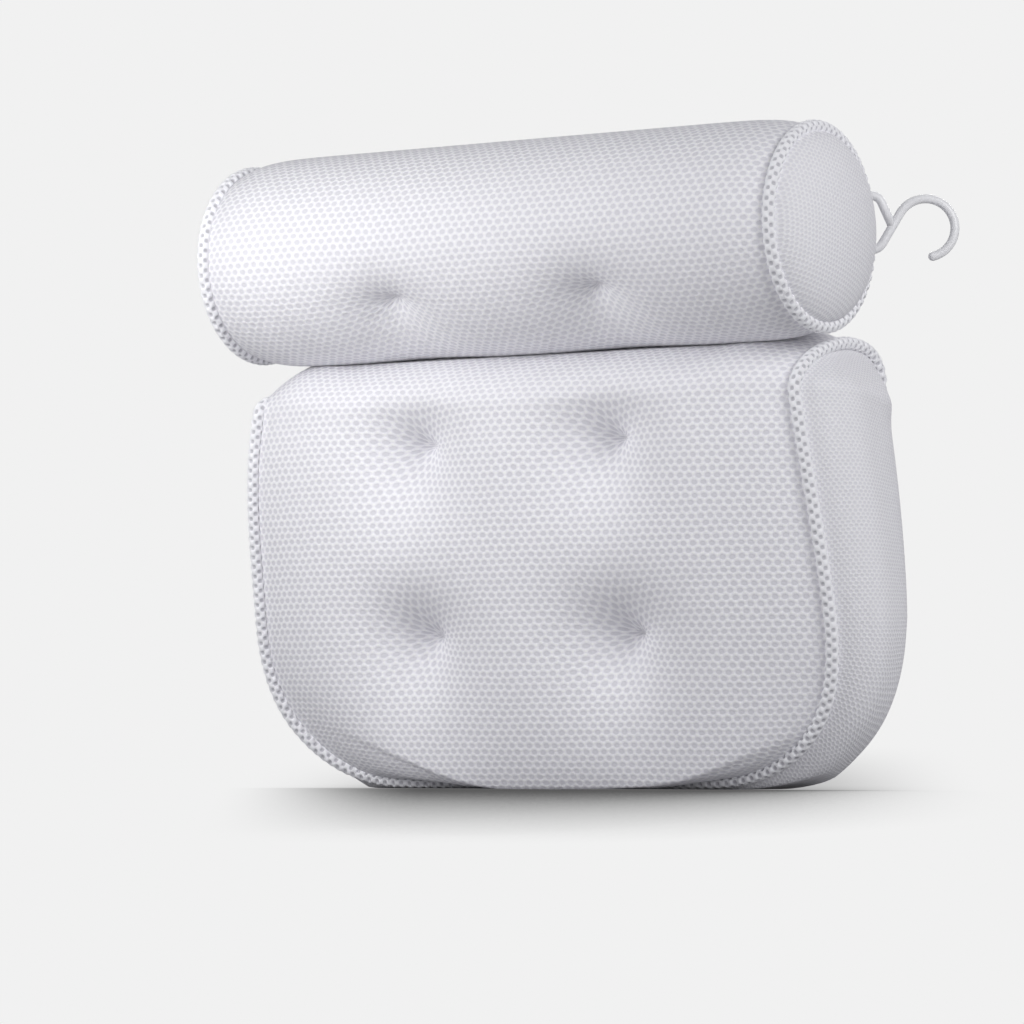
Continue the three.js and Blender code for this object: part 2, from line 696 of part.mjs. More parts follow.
// A push-in cup: mushroom head, neck, boss and a flaring dish that ends in a flat rim.
function cupGeometry() {
  const bossTop = bossBottom + CUP_BOSS_HEIGHT;
  const innerRim = CUP_RADIUS - CUP_RIM_WIDTH;
  const flare = (share) => [
    CUP_BOSS_RADIUS + (CUP_RADIUS - CUP_BOSS_RADIUS) * share,
    bossTop + (CUP_REACH - bossTop) * share ** CUP_FLARE_CURVE];
  const dish = (share) => [innerRim * share, CUP_REACH - CUP_DISH_DEPTH * (1 - share ** 2)];
  return revolve([
    [0, headBottom],
    [CUP_HEAD_RADIUS - CUP_HEAD_EDGE, headBottom],
    [CUP_HEAD_RADIUS, headBottom + CUP_HEAD_THICKNESS / 2],
    [CUP_HEAD_RADIUS - CUP_HEAD_EDGE, headTop],
    [CUP_NECK_RADIUS, headTop],
    [CUP_NECK_RADIUS, bossBottom],
    [CUP_BOSS_RADIUS, bossBottom],
    ...CUP_FLARE_SHARES.map(flare),
    ...CUP_DISH_SHARES.map(dish),
  ], CUP_SIDES);
}

// Finishes

const MESH_WHITE = { color: '#f1f0f5', roughness: 0.92, metalness: 0 };
const BEAD_WHITE = { color: '#e9e8ee', roughness: 0.95, metalness: 0 };
const FIBRE_WHITE = { color: '#f4f3f0', roughness: 1, metalness: 0 };
const THREAD_WHITE = { color: '#ecebf0', roughness: 0.85, metalness: 0 };
const VINYL_WHITE = { color: '#eeeef2', roughness: 0.5, metalness: 0 };
const CUP_CLEAR = { color: '#dfe6ea', roughness: 0.2, metalness: 0 };
const HOOK_WHITE = { color: '#efeff2', roughness: 0.35, metalness: 0 };

// Back pad pieces

const pillow = new THREE.Group();
const padTufts = [-1, 1].flatMap((hand) => [PAD_TUFT_LOW, tuftHigh].map((height) => ({
  x: hand * tuftColumn * seamHalfWidth(height), height })));
const padHoles = padTufts.map(({ x, height }) => (
  threadHole(tuftBottomY(height), cupSeatY(height)).translate(x, 0, height)));

const padInner = padGrids(MESH_THICKNESS);
const padCore = padGrids(MESH_THICKNESS + CORE_CLEARANCE);
pillow.add(mesh('pad_cover_panel',
  cut(sheetGeometry(drawBack(panelOuter), drawBack(padInner.panel)), padHoles), MESH_WHITE));
pillow.add(mesh('pad_side_band',
  sheetGeometry(drawBack(bluntEnds(bandOuter)), drawBack(bluntEnds(padInner.band)), { otherDiagonal: true }),
  MESH_WHITE));
const coreRoom = padGrids(MESH_THICKNESS + CORE_CLEARANCE / 2);
pillow.add(mesh('pad_core', cut(closedGeometry([
  ...gridTriangles(padCore.panel),
  ...gridTriangles(padCore.band),
]), [
  ...padHoles,
  sheetGeometry(drawBack(panelOuter), drawBack(coreRoom.panel)),
  sheetGeometry(drawBack(bluntEnds(bandOuter)), drawBack(bluntEnds(coreRoom.band)), { otherDiagonal: true }),
]), FIBRE_WHITE));

// The bead follows the seam all round, outside both fabrics; on the base it sits in their groove.
const beadMiddles = beadLine();
const beadRings = seamLoop.map((place, i) => {
  const ahead = seamLoop[(i + 1) % seamLoop.length].point;
  const behind = seamLoop[(i + seamLoop.length - 1) % seamLoop.length].point;
  const across = ahead.clone().sub(behind).cross(place.outward).normalize();
  const middle = beadMiddles[i];
  return Array.from({ length: BEAD_SIDES + 1 }, (_, side) => {
    const angle = 2 * Math.PI * side / BEAD_SIDES;
    return middle.clone()
      .addScaledVector(place.outward, BEAD_RADIUS * Math.cos(angle))
      .addScaledVector(across, BEAD_RADIUS * Math.sin(angle));
  });
});
pillow.add(mesh('pad_seam_bead', closedGeometry(gridTriangles(beadRings, true)), BEAD_WHITE));

padTufts.forEach(({ x, height }, i) => {
  const standOff = knotStandOff(panelOuter, rowHeights.indexOf(height), tuftColumnIndex);
  const tie = mesh(`pad_tuft_tie_${i + 1}`,
    tieGeometry(tuftBottomY(height), cupSeatY(height), standOff), THREAD_WHITE);
  tie.position.set(x, 0, height);
  const patch = mesh(`pad_cup_patch_${i + 1}`, patchGeometry(), VINYL_WHITE);
  patch.position.set(x, cupSeatY(height), height);
  const cup = mesh(`pad_suction_cup_${i + 1}`, cupGeometry(), CUP_CLEAR);
  cup.position.copy(patch.position);
  pillow.add(tie, patch, cup);
});

// Headrest pieces, made round the X axis with the tufts at -Y, then tipped and lifted as one

const headrest = new THREE.Group();
headrest.position.set(0, HEADREST_CENTRE_Y, headrestZ);
headrest.rotation.x = radians(HEADREST_TIP);
const headrestHalf = HEADREST_LENGTH / 2;
const headrestTuft = HEADREST_TUFT_SPREAD / 2;
const sleeveHalf = [
  headrestTuft - TUFT_STEP,
  headrestTuft,
  headrestTuft + TUFT_STEP,
  ...HEADREST_OUTER_STATIONS.map((share) => (
    headrestTuft + TUFT_STEP + (headrestHalf - headrestTuft - TUFT_STEP) * share)),
];
const sleeveStations = [...sleeveHalf.map((along) => -along).reverse(), 0, ...sleeveHalf];
const headrestSeatY = headrestRadius(headrestTuft) - CUP_SEAT_DEPTH;
const headrestTuftY = HEADREST_TUFT_DEPTH - headrestRadius(headrestTuft);

// A point of the sleeve: a barrel with tufts at the front and flat cup seats at the back.
function sleevePoint(along, turn) {
  const radius = headrestRadius(along);
  const fromTuft = Math.abs(Math.abs(along) - headrestTuft);
  const aroundFront = radius * Math.abs(Math.PI + turn);
  const depth = HEADREST_TUFT_DEPTH * tuftShare(Math.hypot(fromTuft, aroundFront));
  const point = new THREE.Vector3(along, (radius - depth) * Math.cos(turn), (radius - depth) * Math.sin(turn));
  const aroundBack = radius * Math.min(-turn, 2 * Math.PI + turn);
  const seat = 1 - THREE.MathUtils.smoothstep(Math.hypot(fromTuft, aroundBack), CUP_SEAT_RADIUS, TUFT_REACH);
  point.y = Math.min(point.y, headrestSeatY + (1 - seat) * CUP_SEAT_DEPTH);
  return point;
}

const sleeveTurns = Array.from({ length: HEADREST_SIDES }, (_, i) => -2 * Math.PI * i / HEADREST_SIDES);
const sleeveOuter = sleeveTurns.map((turn) => sleeveStations.map((along) => sleevePoint(along, turn)));
const sleeveNormals = gridNormals(sleeveOuter, true);

// The sleeve at a depth under its face; the end stations are mitred to meet the end panels.
function sleeveGrid(depth, drawnIn) {
  const rows = offsetGrid(sleeveOuter, sleeveNormals, -depth);
  rows.forEach((row, i) => {
    for (const station of [0, row.length - 1]) {
      const radius = HEADREST_END_RADIUS - depth;
      row[station].set(
        Math.sign(sleeveStations[station]) * (headrestHalf - depth - drawnIn),
        radius * Math.cos(sleeveTurns[i]), radius * Math.sin(sleeveTurns[i]));
    }
  });
  return rows;
}

const headrestHoles = [-1, 1].map((hand) => (
  threadHole(headrestTuftY, headrestSeatY).translate(hand * headrestTuft, 0, 0)));
headrest.add(mesh('headrest_cover', cut(
  sheetGeometry(sleeveGrid(0, SEAM_CLEARANCE), sleeveGrid(MESH_THICKNESS, SEAM_CLEARANCE), { wrapped: true }),
  headrestHoles), MESH_WHITE));

// Height of the domed end above its rim at a share of the rim's radius.
function endDome(share) {
  return HEADREST_END_BULGE * Math.max(0, 1 - share ** 2) ** HEADREST_DOME_CURVE;
}

const endPanelProfile = [
  ...HEADREST_DOME_SHARES.map((share) => [
    share * (HEADREST_END_RADIUS - SEAM_CLEARANCE), headrestHalf + endDome(share)]),
  ...[...HEADREST_DOME_SHARES].reverse().map((share) => [
    share * (HEADREST_END_RADIUS - MESH_THICKNESS - SEAM_CLEARANCE),
    headrestHalf - MESH_THICKNESS + endDome(share)]),
];
const endBeadStandOff = BEAD_RADIUS * Math.cos(Math.PI / BEAD_SIDES) + SEAM_CLEARANCE / 2;
const endBeadAngle = radians(HEADREST_BEAD_ANGLE);
const endBeadProfile = Array.from({ length: BEAD_SIDES + 1 }, (_, side) => {
  const angle = 2 * Math.PI * (side % BEAD_SIDES) / BEAD_SIDES;
  return [
    HEADREST_END_RADIUS + endBeadStandOff * Math.sin(endBeadAngle) + BEAD_RADIUS * Math.cos(angle),
    headrestHalf + endBeadStandOff * Math.cos(endBeadAngle) + BEAD_RADIUS * Math.sin(angle)];
});
for (const [side, quarter] of [['left', 1], ['right', -1]]) {
  const panel = mesh(`headrest_end_panel_${side}`, revolve(endPanelProfile, HEADREST_SIDES), MESH_WHITE);
  panel.rotation.z = quarter * Math.PI / 2;
  const bead = mesh(`headrest_seam_bead_${side}`, revolve(endBeadProfile, HEADREST_SIDES), BEAD_WHITE);
  bead.rotation.z = quarter * Math.PI / 2;
  headrest.add(panel, bead);
}

// The core fills the sleeve and the domed ends, a clearance under the fabric.
const coreDepth = MESH_THICKNESS + CORE_CLEARANCE;
const coreSide = sleeveGrid(coreDepth, 0);
const coreEnd = (hand) => sleeveTurns.map((turn) => [...HEADREST_DOME_SHARES].reverse().map((share) => (
  new THREE.Vector3(
    hand * (headrestHalf - coreDepth + endDome(share)),
    share * (HEADREST_END_RADIUS - coreDepth) * Math.cos(turn),
    share * (HEADREST_END_RADIUS - coreDepth) * Math.sin(turn)))));
headrest.add(mesh('headrest_core', cut(closedGeometry([
  ...gridTriangles(coreSide, true),
  ...gridTriangles(coreEnd(1), true),
  ...gridTriangles(coreEnd(-1).map((row) => [...row].reverse()), true),
]), headrestHoles), FIBRE_WHITE));

[-1, 1].forEach((hand, i) => {
  const standOff = knotStandOff(sleeveOuter, HEADREST_SIDES / 2, sleeveStations.indexOf(headrestTuft));
  const tie = mesh(`headrest_tuft_tie_${i + 1}`,
    tieGeometry(headrestTuftY, headrestSeatY, standOff), THREAD_WHITE);
  tie.position.x = hand * headrestTuft;
  const patch = mesh(`headrest_cup_patch_${i + 1}`, patchGeometry(), VINYL_WHITE);
  patch.position.set(hand * headrestTuft, headrestSeatY, 0);
  const cup = mesh(`headrest_suction_cup_${i + 1}`, cupGeometry(), CUP_CLEAR);
  cup.position.copy(patch.position);
  headrest.add(tie, patch, cup);
});

// Fold strip: one leaf sewn to the pad's top behind the headrest, one to the headrest's back

// A strip between two stations along X, lying a clearance off the surface that a grid gives.
function stripGeometry(rows, normals) {
  const low = offsetGrid(rows, normals, SEAM_CLEARANCE);
  const high = offsetGrid(rows, normals, SEAM_CLEARANCE + STRIP_THICKNESS);
  return sheetGeometry(high, low);
}

// Trims each row of a grid to the strip's length, with new end points between its stations.
function trimmed(rows, half) {
  return rows.map((row) => {
    const inside = row.filter((point) => Math.abs(point.x) < half);
    const first = row.findIndex((point) => Math.abs(point.x) < half);
    const final = first + inside.length - 1;
    const at = (outside, within) => row[within].clone().lerp(row[outside],
      (half - Math.abs(row[within].x)) / (Math.abs(row[outside].x) - Math.abs(row[within].x)));
    return [at(first - 1, first), ...inside, at(final + 1, final)];
  });
}

const padLeaf = trimmed(panelOuter.slice(apexRow, apexRow + STRIP_ROWS), STRIP_LENGTH / 2);
pillow.add(mesh('fold_strip_pad_leaf', stripGeometry(padLeaf, gridNormals(padLeaf)), MESH_WHITE));
const leafFirstTurn = Math.round(HEADREST_SIDES * STRIP_START_TURN / 360);
const headrestLeaf = trimmed(sleeveOuter.slice(leafFirstTurn, leafFirstTurn + STRIP_ROWS), STRIP_LENGTH / 2);
headrest.add(mesh('fold_strip_headrest_leaf', stripGeometry(headrestLeaf, gridNormals(headrestLeaf)), MESH_WHITE));
pillow.add(headrest);

// Drying hook in its own plane, X along its reach and Z up, turned to its heading on the tab

// A round rod along points of one upright plane, mitred at each bend, with flat or round ends.
function rodGeometry(points, radius, endAngles) {
  const across = new THREE.Vector3(0, 1, 0);
  const way = (i) => points[i + 1].clone().sub(points[i]).normalize();
  const final = points.length - 1;
  const ring = (middle, tangent, wide) => Array.from({ length: HOOK_ROD_SIDES + 1 }, (_, side) => {
    const angle = 2 * Math.PI * (side + 0.5) / HOOK_ROD_SIDES;
    return middle.clone()
      .addScaledVector(tangent.clone().cross(across), wide.bend * Math.cos(angle))
      .addScaledVector(across, wide.flat * Math.sin(angle));
  });
  const end = (i, tangent, outward) => endAngles.map((angle) => {
    const wide = radius * Math.cos(radians(angle));
    const middle = points[i].clone().addScaledVector(tangent, outward * radius * Math.sin(radians(angle)));
    return ring(middle, tangent, { bend: wide, flat: wide });
  });
  const bends = points.slice(1, -1).map((point, i) => {
    const tangent = way(i).add(way(i + 1)).normalize();
    return ring(point, tangent, { bend: radius / tangent.dot(way(i)), flat: radius });
  });
  const rings = [...end(0, way(0), -1).reverse(), ...bends, ...end(final, way(final - 1), 1)];
  const cap = (loop, middle) => loop.slice(0, -1).flatMap((point, i) => [middle, point, loop[i + 1]]);
  const last = rings.length - 1;
  const tips = [0, last].map((i) => (
    rings[i][0].clone().add(rings[i][HOOK_ROD_SIDES / 2]).multiplyScalar(0.5)));
  return closedGeometry([
    ...gridTriangles(rings),
    ...cap(rings[0], tips[0]),
    ...turnedTriangles(cap(rings[last], tips[1])),
  ]);
}

const hookPoint = (forward, up) => new THREE.Vector3(forward, 0, up);
const loopHalf = HOOK_LOOP_HEIGHT / 2;
const bowMiddle = hookPoint(HOOK_LOOP_DEPTH + HOOK_BOW_FORWARD, -HOOK_BOW_DROP);
const lowCorner = hookPoint(HOOK_LOOP_DEPTH, -loopHalf);
const highCorner = hookPoint(HOOK_LOOP_DEPTH, loopHalf);

// The shank leaves the loop's lower corner and runs tangent into the bow.
const toBow = bowMiddle.clone().sub(lowCorner);
const shankAngle = Math.atan2(toBow.z, toBow.x) + Math.asin(HOOK_BOW_RADIUS / toBow.length());
const bowStart = shankAngle + Math.PI / 2;
const bowEnd = radians(HOOK_TIP_ANGLE);
const bowPoints = Array.from({ length: HOOK_BOW_STEPS + 1 }, (_, i) => {
  const angle = bowStart + (bowEnd - bowStart) * i / HOOK_BOW_STEPS;
  return hookPoint(
    bowMiddle.x + HOOK_BOW_RADIUS * Math.cos(angle), bowMiddle.z + HOOK_BOW_RADIUS * Math.sin(angle));
});
const bend = HOOK_ROD_RADIUS;
const mainRod = rodGeometry([
  highCorner,
  hookPoint(bend, loopHalf),
  hookPoint(0, loopHalf - bend),
  hookPoint(0, bend - loopHalf),
  hookPoint(bend, -loopHalf),
  lowCorner,
  ...bowPoints,
], HOOK_ROD_RADIUS, HOOK_ROUND_END);
const braceEnd = lowCorner.clone().lerp(bowPoints[0], HOOK_BRACE_SHARE);
const brace = rodGeometry([highCorner, braceEnd], HOOK_ROD_RADIUS * HOOK_BRACE_SLIMNESS, [0]);
const hook = mesh('drying_hook', join([mainRod, brace]), HOOK_WHITE);
const barX = headrestHalf - HOOK_FROM_END;
const barY = HEADREST_CENTRE_Y + headrestFull + HOOK_BEHIND_SLEEVE;
const barZ = headrestZ + HOOK_ABOVE_AXIS;
hook.position.set(barX, barY, barZ);
hook.rotation.z = radians(HOOK_HEADING);
pillow.add(hook);

// Webbing tab: a foot sewn on the headrest's back, a leg, and a loop folded round the hook's bar

const tabInner = HOOK_ROD_RADIUS + TAB_CLEARANCE;
const tabOuter = tabInner + TAB_THICKNESS;
const tabLoop = revolve([
  [tabInner, -TAB_WIDTH / 2],
  [tabOuter, -TAB_WIDTH / 2],
  [tabOuter, TAB_WIDTH / 2],
  [tabInner, TAB_WIDTH / 2],
  [tabInner, -TAB_WIDTH / 2],
], CUP_SIDES).rotateX(Math.PI / 2).translate(barX, barY, barZ);
const footStart = barX - TAB_FOOT_LENGTH / 2;
const footStation = sleeveStations.findIndex((along) => along > footStart);
const [innerStation, outerStation] = sleeveStations.slice(footStation - 1, footStation + 1);
const footRadius = SEAM_CLEARANCE + THREE.MathUtils.mapLinear(
  footStart, innerStation, outerStation, headrestRadius(innerStation), headrestRadius(outerStation));
const footTurn = Math.asin(HOOK_ABOVE_AXIS / footRadius);
const footSweep = TAB_WIDTH / 2 / footRadius;
const footSection = new THREE.Shape();
footSection.absarc(0, 0, footRadius + TAB_THICKNESS, footTurn - footSweep, footTurn + footSweep, false);
footSection.absarc(0, 0, footRadius, footTurn + footSweep, footTurn - footSweep, true);
const tabFoot = new THREE.ExtrudeGeometry(footSection, {
  depth: TAB_FOOT_LENGTH, bevelEnabled: false, curveSegments: TAB_FOOT_STEPS });
tabFoot.rotateY(Math.PI / 2).rotateX(Math.PI / 2);
tabFoot.translate(footStart, HEADREST_CENTRE_Y, headrestZ);
const legStart = HEADREST_CENTRE_Y + footRadius * Math.cos(footTurn) + TAB_THICKNESS / 2;
const legEnd = barY - tabInner - TAB_THICKNESS / 2;
const tabLeg = new THREE.BoxGeometry(TAB_THICKNESS, legEnd - legStart, TAB_WIDTH);
tabLeg.translate(barX, (legStart + legEnd) / 2, barZ);
pillow.add(mesh('hook_tab', join([tabFoot, tabLeg, tabLoop]), BEAD_WHITE));

export default pillow;
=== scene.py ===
import bmesh
import bpy
import numpy as np
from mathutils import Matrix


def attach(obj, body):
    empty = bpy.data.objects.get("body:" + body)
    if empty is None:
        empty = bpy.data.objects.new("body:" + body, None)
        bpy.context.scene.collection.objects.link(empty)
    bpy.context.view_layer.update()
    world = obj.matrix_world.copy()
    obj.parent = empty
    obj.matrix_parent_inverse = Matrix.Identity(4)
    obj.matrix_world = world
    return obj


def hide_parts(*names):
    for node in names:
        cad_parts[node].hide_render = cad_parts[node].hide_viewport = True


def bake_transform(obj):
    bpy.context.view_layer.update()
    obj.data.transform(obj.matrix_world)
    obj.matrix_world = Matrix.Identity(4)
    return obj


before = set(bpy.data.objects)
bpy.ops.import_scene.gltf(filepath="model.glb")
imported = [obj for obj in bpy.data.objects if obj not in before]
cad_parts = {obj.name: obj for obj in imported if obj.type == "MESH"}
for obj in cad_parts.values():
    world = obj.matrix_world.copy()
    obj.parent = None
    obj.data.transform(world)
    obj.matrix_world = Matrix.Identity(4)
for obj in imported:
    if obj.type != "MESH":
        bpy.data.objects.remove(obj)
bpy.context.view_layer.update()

# Back pad cushion
# A boxed cushion of white polyester spacer mesh round a loose fibre core. One panel runs up the
# front, over the top and down the back, and a band sewn to it closes the sides and the base.
# Four stitches tie the front to the back and draw it into tufts. Sizes are in millimetres.

MILLIMETRE = 0.001
PAD_WIDTH = 360.0
PAD_TOP_NARROWING = 13.0
PAD_NARROWING_CURVE = 1.6
PAD_BOTTOM_FLAT = 184.0
PAD_LEFT_TRIM = 7.0
PAD_LEFT_TRIM_HEIGHT = 90.0
PAD_LEFT_TRIM_REACH = 70.0
PAD_SEAM_LIFT = 5.0
PAD_CORNER_HEIGHT = 80.0
PAD_CORNER_TOP = PAD_SEAM_LIFT + PAD_CORNER_HEIGHT
PAD_CORNER_ROUNDNESS = 2.25
PAD_CORNER_SKEW = 0.16
PAD_TUFT_HEIGHTS = (81.0, 181.0)
PAD_TUFT_COLUMN = 0.35
PAD_TUFT_DEPTH = 33.0
PAD_SHOULDER = 200.0
PAD_TOP_RISE = 26.0
PAD_TOP_CROWN = 8.0
PAD_TOP_END_RISE = 6.0
PAD_TOP_END_COLUMNS = (0.66, 0.84)
PAD_TOP_FULLNESS = 8.0
PAD_APEX_DEPTH = 3.0
PAD_TURN_HEIGHT = 63.0
PAD_FOOT_FULLNESS = 40.0
PAD_FOOT_CURVE = 0.25
PAD_LIP_MIDDLE = 24.0
PAD_LIP_ROUND = 6.0
PAD_LIP_BEND = 2.54
PAD_LIP_START = 0.18
PAD_LIP_SPAN = (40.0, 175.0)
PAD_LEAN_CURVE = 1.4
PAD_CROWN_FULLNESS = 3.5
PAD_SIDE_BULGE = 24.0
PAD_LEFT_BULGE = 18.0
PAD_BASE_BULGE = 18.0
PAD_BASE_BULGE_CURVE = 3
PAD_BAND_CURVE = 3.6
PAD_BAND_SMOOTHING = 40
PAD_BULGE_FADE = (200.0, 227.0)
PAD_INSET_FADE = (213.0, 175.0)
PAD_CORNER_SLACK = (0.62, 0.25)
PAD_ROCKER_FROM = 110.0
PAD_ROCKER_RUN = 60.0
PAD_ROCKER_RISE = 12.0
PAD_CUP_SEAT_DEPTH = 5.0
PAD_FRONT = {"sign": -1, "seam_top": -50.0, "lean": 32.0, "crown": 19.0,
             "hangs": 1.0, "foot": 0.0, "inset": 0.0, "top": 1.75}
PAD_BACK = {"sign": 1, "seam_top": 36.0, "lean": -16.0, "crown": 8.0,
            "hangs": 0.0, "foot": 81.0, "inset": 8.0, "top": 2.8}
PAD_ROWS = 151
PAD_COLUMNS = 181
PAD_BAND_STEPS = 33
PAD_TRIAL_STEPS = (200, 400)
PAD_TRIAL_COLUMNS = (0.0, 0.6, 1.0)
CUP_SEAT_RADIUS = 26.0
TUFT_REACH = 50.0
TUFT_STEEPNESS = (1.2, 0.85)
TUFT_SAG = 3.0
TUFT_BELL_REACH = 27.0
TUFT_BELL_CURVE = 1.8
TUFT_BELL_SHARE = 0.58
TUFT_CONE_REACH = 8.5
TUFT_SWALLOW = 7.0
TUFT_SWALLOW_REACH = 17.0
TUFT_NEAREST = 0.01
BOLSTER_CENTRE = np.array([0.0, -39.0, 283.0])
BOLSTER_LENGTH = 350.0
BOLSTER_END_RADIUS = 49.0
BOLSTER_SWELL = 7.3
BOLSTER_FULL = BOLSTER_END_RADIUS + BOLSTER_SWELL
BOLSTER_SWELL_CURVE = 16
PRESS_CLEARANCE = 0.25
PUFF_PRESSURE = 3.0
PUFF_SPARE_LENGTH = 0.004
PUFF_SMOOTHING = 4
PUFF_FRAMES = 20
PUFF_CAP = 5.0
PUFF_STRIDE = 3
HELD_FLOOR = 1.0
HELD_BOLSTER_GAP = 3.0
HELD_STITCH = 5.0
HELD_STRIP_HALF = 125.0
WELD_DISTANCE = 2e-6


def smooth_step(low, high, value):
    """Rises from 0 at low to 1 at high as 3t squared less 2t cubed."""
    t = np.clip((value - low) / (high - low), 0, 1)
    return t * t * (3 - 2 * t)


def pad_half_width(height, column=0.0):
    """Half the front seam's width: a super-elliptic lower corner, rounder at the left than at the right,
    then a slight narrowing upwards. The left side is drawn in by a bell of the height."""
    drop = np.clip((PAD_CORNER_TOP - height) / PAD_CORNER_HEIGHT, 0, 1)
    roundness = PAD_CORNER_ROUNDNESS + PAD_CORNER_SKEW * column
    swing = (1 - drop ** roundness) ** (1 / roundness)
    corner = PAD_BOTTOM_FLAT / 2 + (PAD_WIDTH - PAD_BOTTOM_FLAT) / 2 * swing
    rise = np.clip((height - PAD_CORNER_TOP) / (PAD_SHOULDER - PAD_CORNER_TOP), 0, 1)
    trim = PAD_LEFT_TRIM * np.exp(-((height - PAD_LEFT_TRIM_HEIGHT) / PAD_LEFT_TRIM_REACH) ** 2)
    straight = PAD_WIDTH / 2 - PAD_TOP_NARROWING * rise ** PAD_NARROWING_CURVE
    return np.where(height < PAD_CORNER_TOP, corner, straight) - trim * np.clip(-column, 0, 1) ** 2


def pad_seam_depth(side, height):
    """Depth of a side's seam: upright at the top tufts, leaning inwards below as a power of the drop, and
    upright again below the side's foot."""
    drop = np.clip(1 - np.maximum(height, side["foot"]) / PAD_TUFT_HEIGHTS[1], 0, 1)
    return side["seam_top"] + side["lean"] * drop ** PAD_LEAN_CURVE


def pad_panel(side, column, rise):
    """The panel without tufts: column runs from -1 to 1 across, and rise is the height up to the shoulder
    and then the angle of the turn over the top. The middle stands off the seam by the crown and fades
    to the seam as a power of the column; at the front it hangs over the base seam in a lip on the floor."""
    height = np.minimum(rise, PAD_SHOULDER)
    turn = np.radians(np.clip(rise - PAD_SHOULDER, 0, 90))
    sign, crown = side["sign"], side["crown"]
    edge = np.abs(column) ** PAD_CROWN_FULLNESS
    half_width = pad_half_width(height, column)
    share = np.clip((height - PAD_SEAM_LIFT) / (PAD_TURN_HEIGHT - PAD_SEAM_LIFT), 0, 1)
    tuck = np.clip(2 * share - 1, 0, 1)
    lip = PAD_TURN_HEIGHT * tuck ** 2 * (PAD_LIP_BEND + (1 - PAD_LIP_BEND) * tuck)
    lip = lip + PAD_SEAM_LIFT * np.clip(1 - share / PAD_LIP_START, 0, 1) ** 2
    off_lip = smooth_step(*PAD_LIP_SPAN, np.abs(column * half_width - PAD_LIP_MIDDLE))
    hang = side["hangs"] * (height < PAD_TURN_HEIGHT) * (1 - np.maximum(off_lip, edge))
    level = height + (lip - height) * hang
    lip_share = np.where(tuck > 0, level, 0) + PAD_LIP_ROUND * np.minimum(2 * share, 1)
    lip_share = lip_share / (PAD_TURN_HEIGHT + PAD_LIP_ROUND)
    front_share = np.clip(share + (lip_share - share) * hang, 0, 1)
    base_depth = pad_seam_depth(side, PAD_SEAM_LIFT)
    full_depth = pad_seam_depth(side, np.hypot(level, PAD_FOOT_FULLNESS)) + sign * crown
    middle_depth = base_depth + (full_depth - base_depth) * np.sin(front_share * np.pi / 2) ** PAD_FOOT_CURVE
    depth = middle_depth + (pad_seam_depth(side, height) - middle_depth) * edge
    bend = 2 / side["top"]
    fullness = PAD_CROWN_FULLNESS + (PAD_TOP_FULLNESS - PAD_CROWN_FULLNESS) * np.sin(turn)
    full_crown = PAD_TOP_CROWN + PAD_TOP_END_RISE * smooth_step(*PAD_TOP_END_COLUMNS, np.abs(column))
    top_crown = (crown + (full_crown - crown) * np.sin(turn)) * (1 - np.abs(column) ** fullness)
    top_depth = (PAD_APEX_DEPTH + (pad_seam_depth(side, PAD_SHOULDER) - PAD_APEX_DEPTH) * np.cos(turn) ** bend
                 + sign * top_crown * np.cos(turn))
    top_level = PAD_SHOULDER + PAD_TOP_RISE * np.sin(turn) ** bend + top_crown * np.sin(turn)
    over = rise > PAD_SHOULDER
    inset = side["inset"] * smooth_step(*PAD_INSET_FADE, np.where(over, top_level, height))
    return np.stack(np.broadcast_arrays(column * (half_width - inset), np.where(over, top_depth, depth),
                                        np.where(over, top_level, level)), -1)


def run_length(points, axis):
    """Length along one axis of a grid, summed from its first point."""
    steps = np.linalg.norm(np.diff(points, axis=axis), axis=-1)
    start = np.zeros_like(np.take(steps, [0], axis=axis))
    return np.concatenate([start, np.cumsum(steps, axis=axis)], axis=axis)


def even_rises(side):
    """Rises from the base seam to the top at even steps of the panel's middle and edge lengths together."""
    below = np.linspace(PAD_SEAM_LIFT, PAD_TURN_HEIGHT, PAD_TRIAL_STEPS[0])
    above = np.linspace(PAD_TURN_HEIGHT, PAD_SHOULDER + 90, PAD_TRIAL_STEPS[1])
    rises = np.concatenate([below, above[1:]])
    lines = pad_panel(side, np.array(PAD_TRIAL_COLUMNS)[:, None], rises[None, :])
    length = run_length(lines, 1).sum(0)
    return np.interp(np.linspace(0, length[-1], PAD_ROWS), length, rises)


def tuft_share(across, up):
    """Share of a tuft's depth at a place: a broad bell that sags below the stitch, and a sharp cone at it,
    both steeper above the stitch than below."""
    up = up * np.where(up > 0, TUFT_STEEPNESS[0], TUFT_STEEPNESS[1])
    bell = np.exp(-(np.hypot(across, up + TUFT_SAG) / TUFT_BELL_REACH) ** TUFT_BELL_CURVE)
    cone = np.exp(-np.hypot(across, up) / TUFT_CONE_REACH)
    return TUFT_BELL_SHARE * bell + (1 - TUFT_BELL_SHARE) * cone


def swallowed(across, up):
    """Cloth drawn into a stitch: the cloth map moves straight away from the stitch by an amount that falls
    off as an exponential of the distance, so openings stretch towards it and crowd round it."""
    away = np.maximum(np.hypot(across, up), TUFT_NEAREST)
    shift = TUFT_SWALLOW * np.exp(-away / TUFT_SWALLOW_REACH) / away
    return np.stack([across * shift, up * shift], -1)


def bolster_radius(along):
    """Radius of the bolster's sleeve: full along the middle and drawn in to the end seams."""
    share = np.clip(np.abs(along) / (BOLSTER_LENGTH / 2), 0, 1)
    return BOLSTER_END_RADIUS + BOLSTER_SWELL * (1 - share ** BOLSTER_SWELL_CURVE)


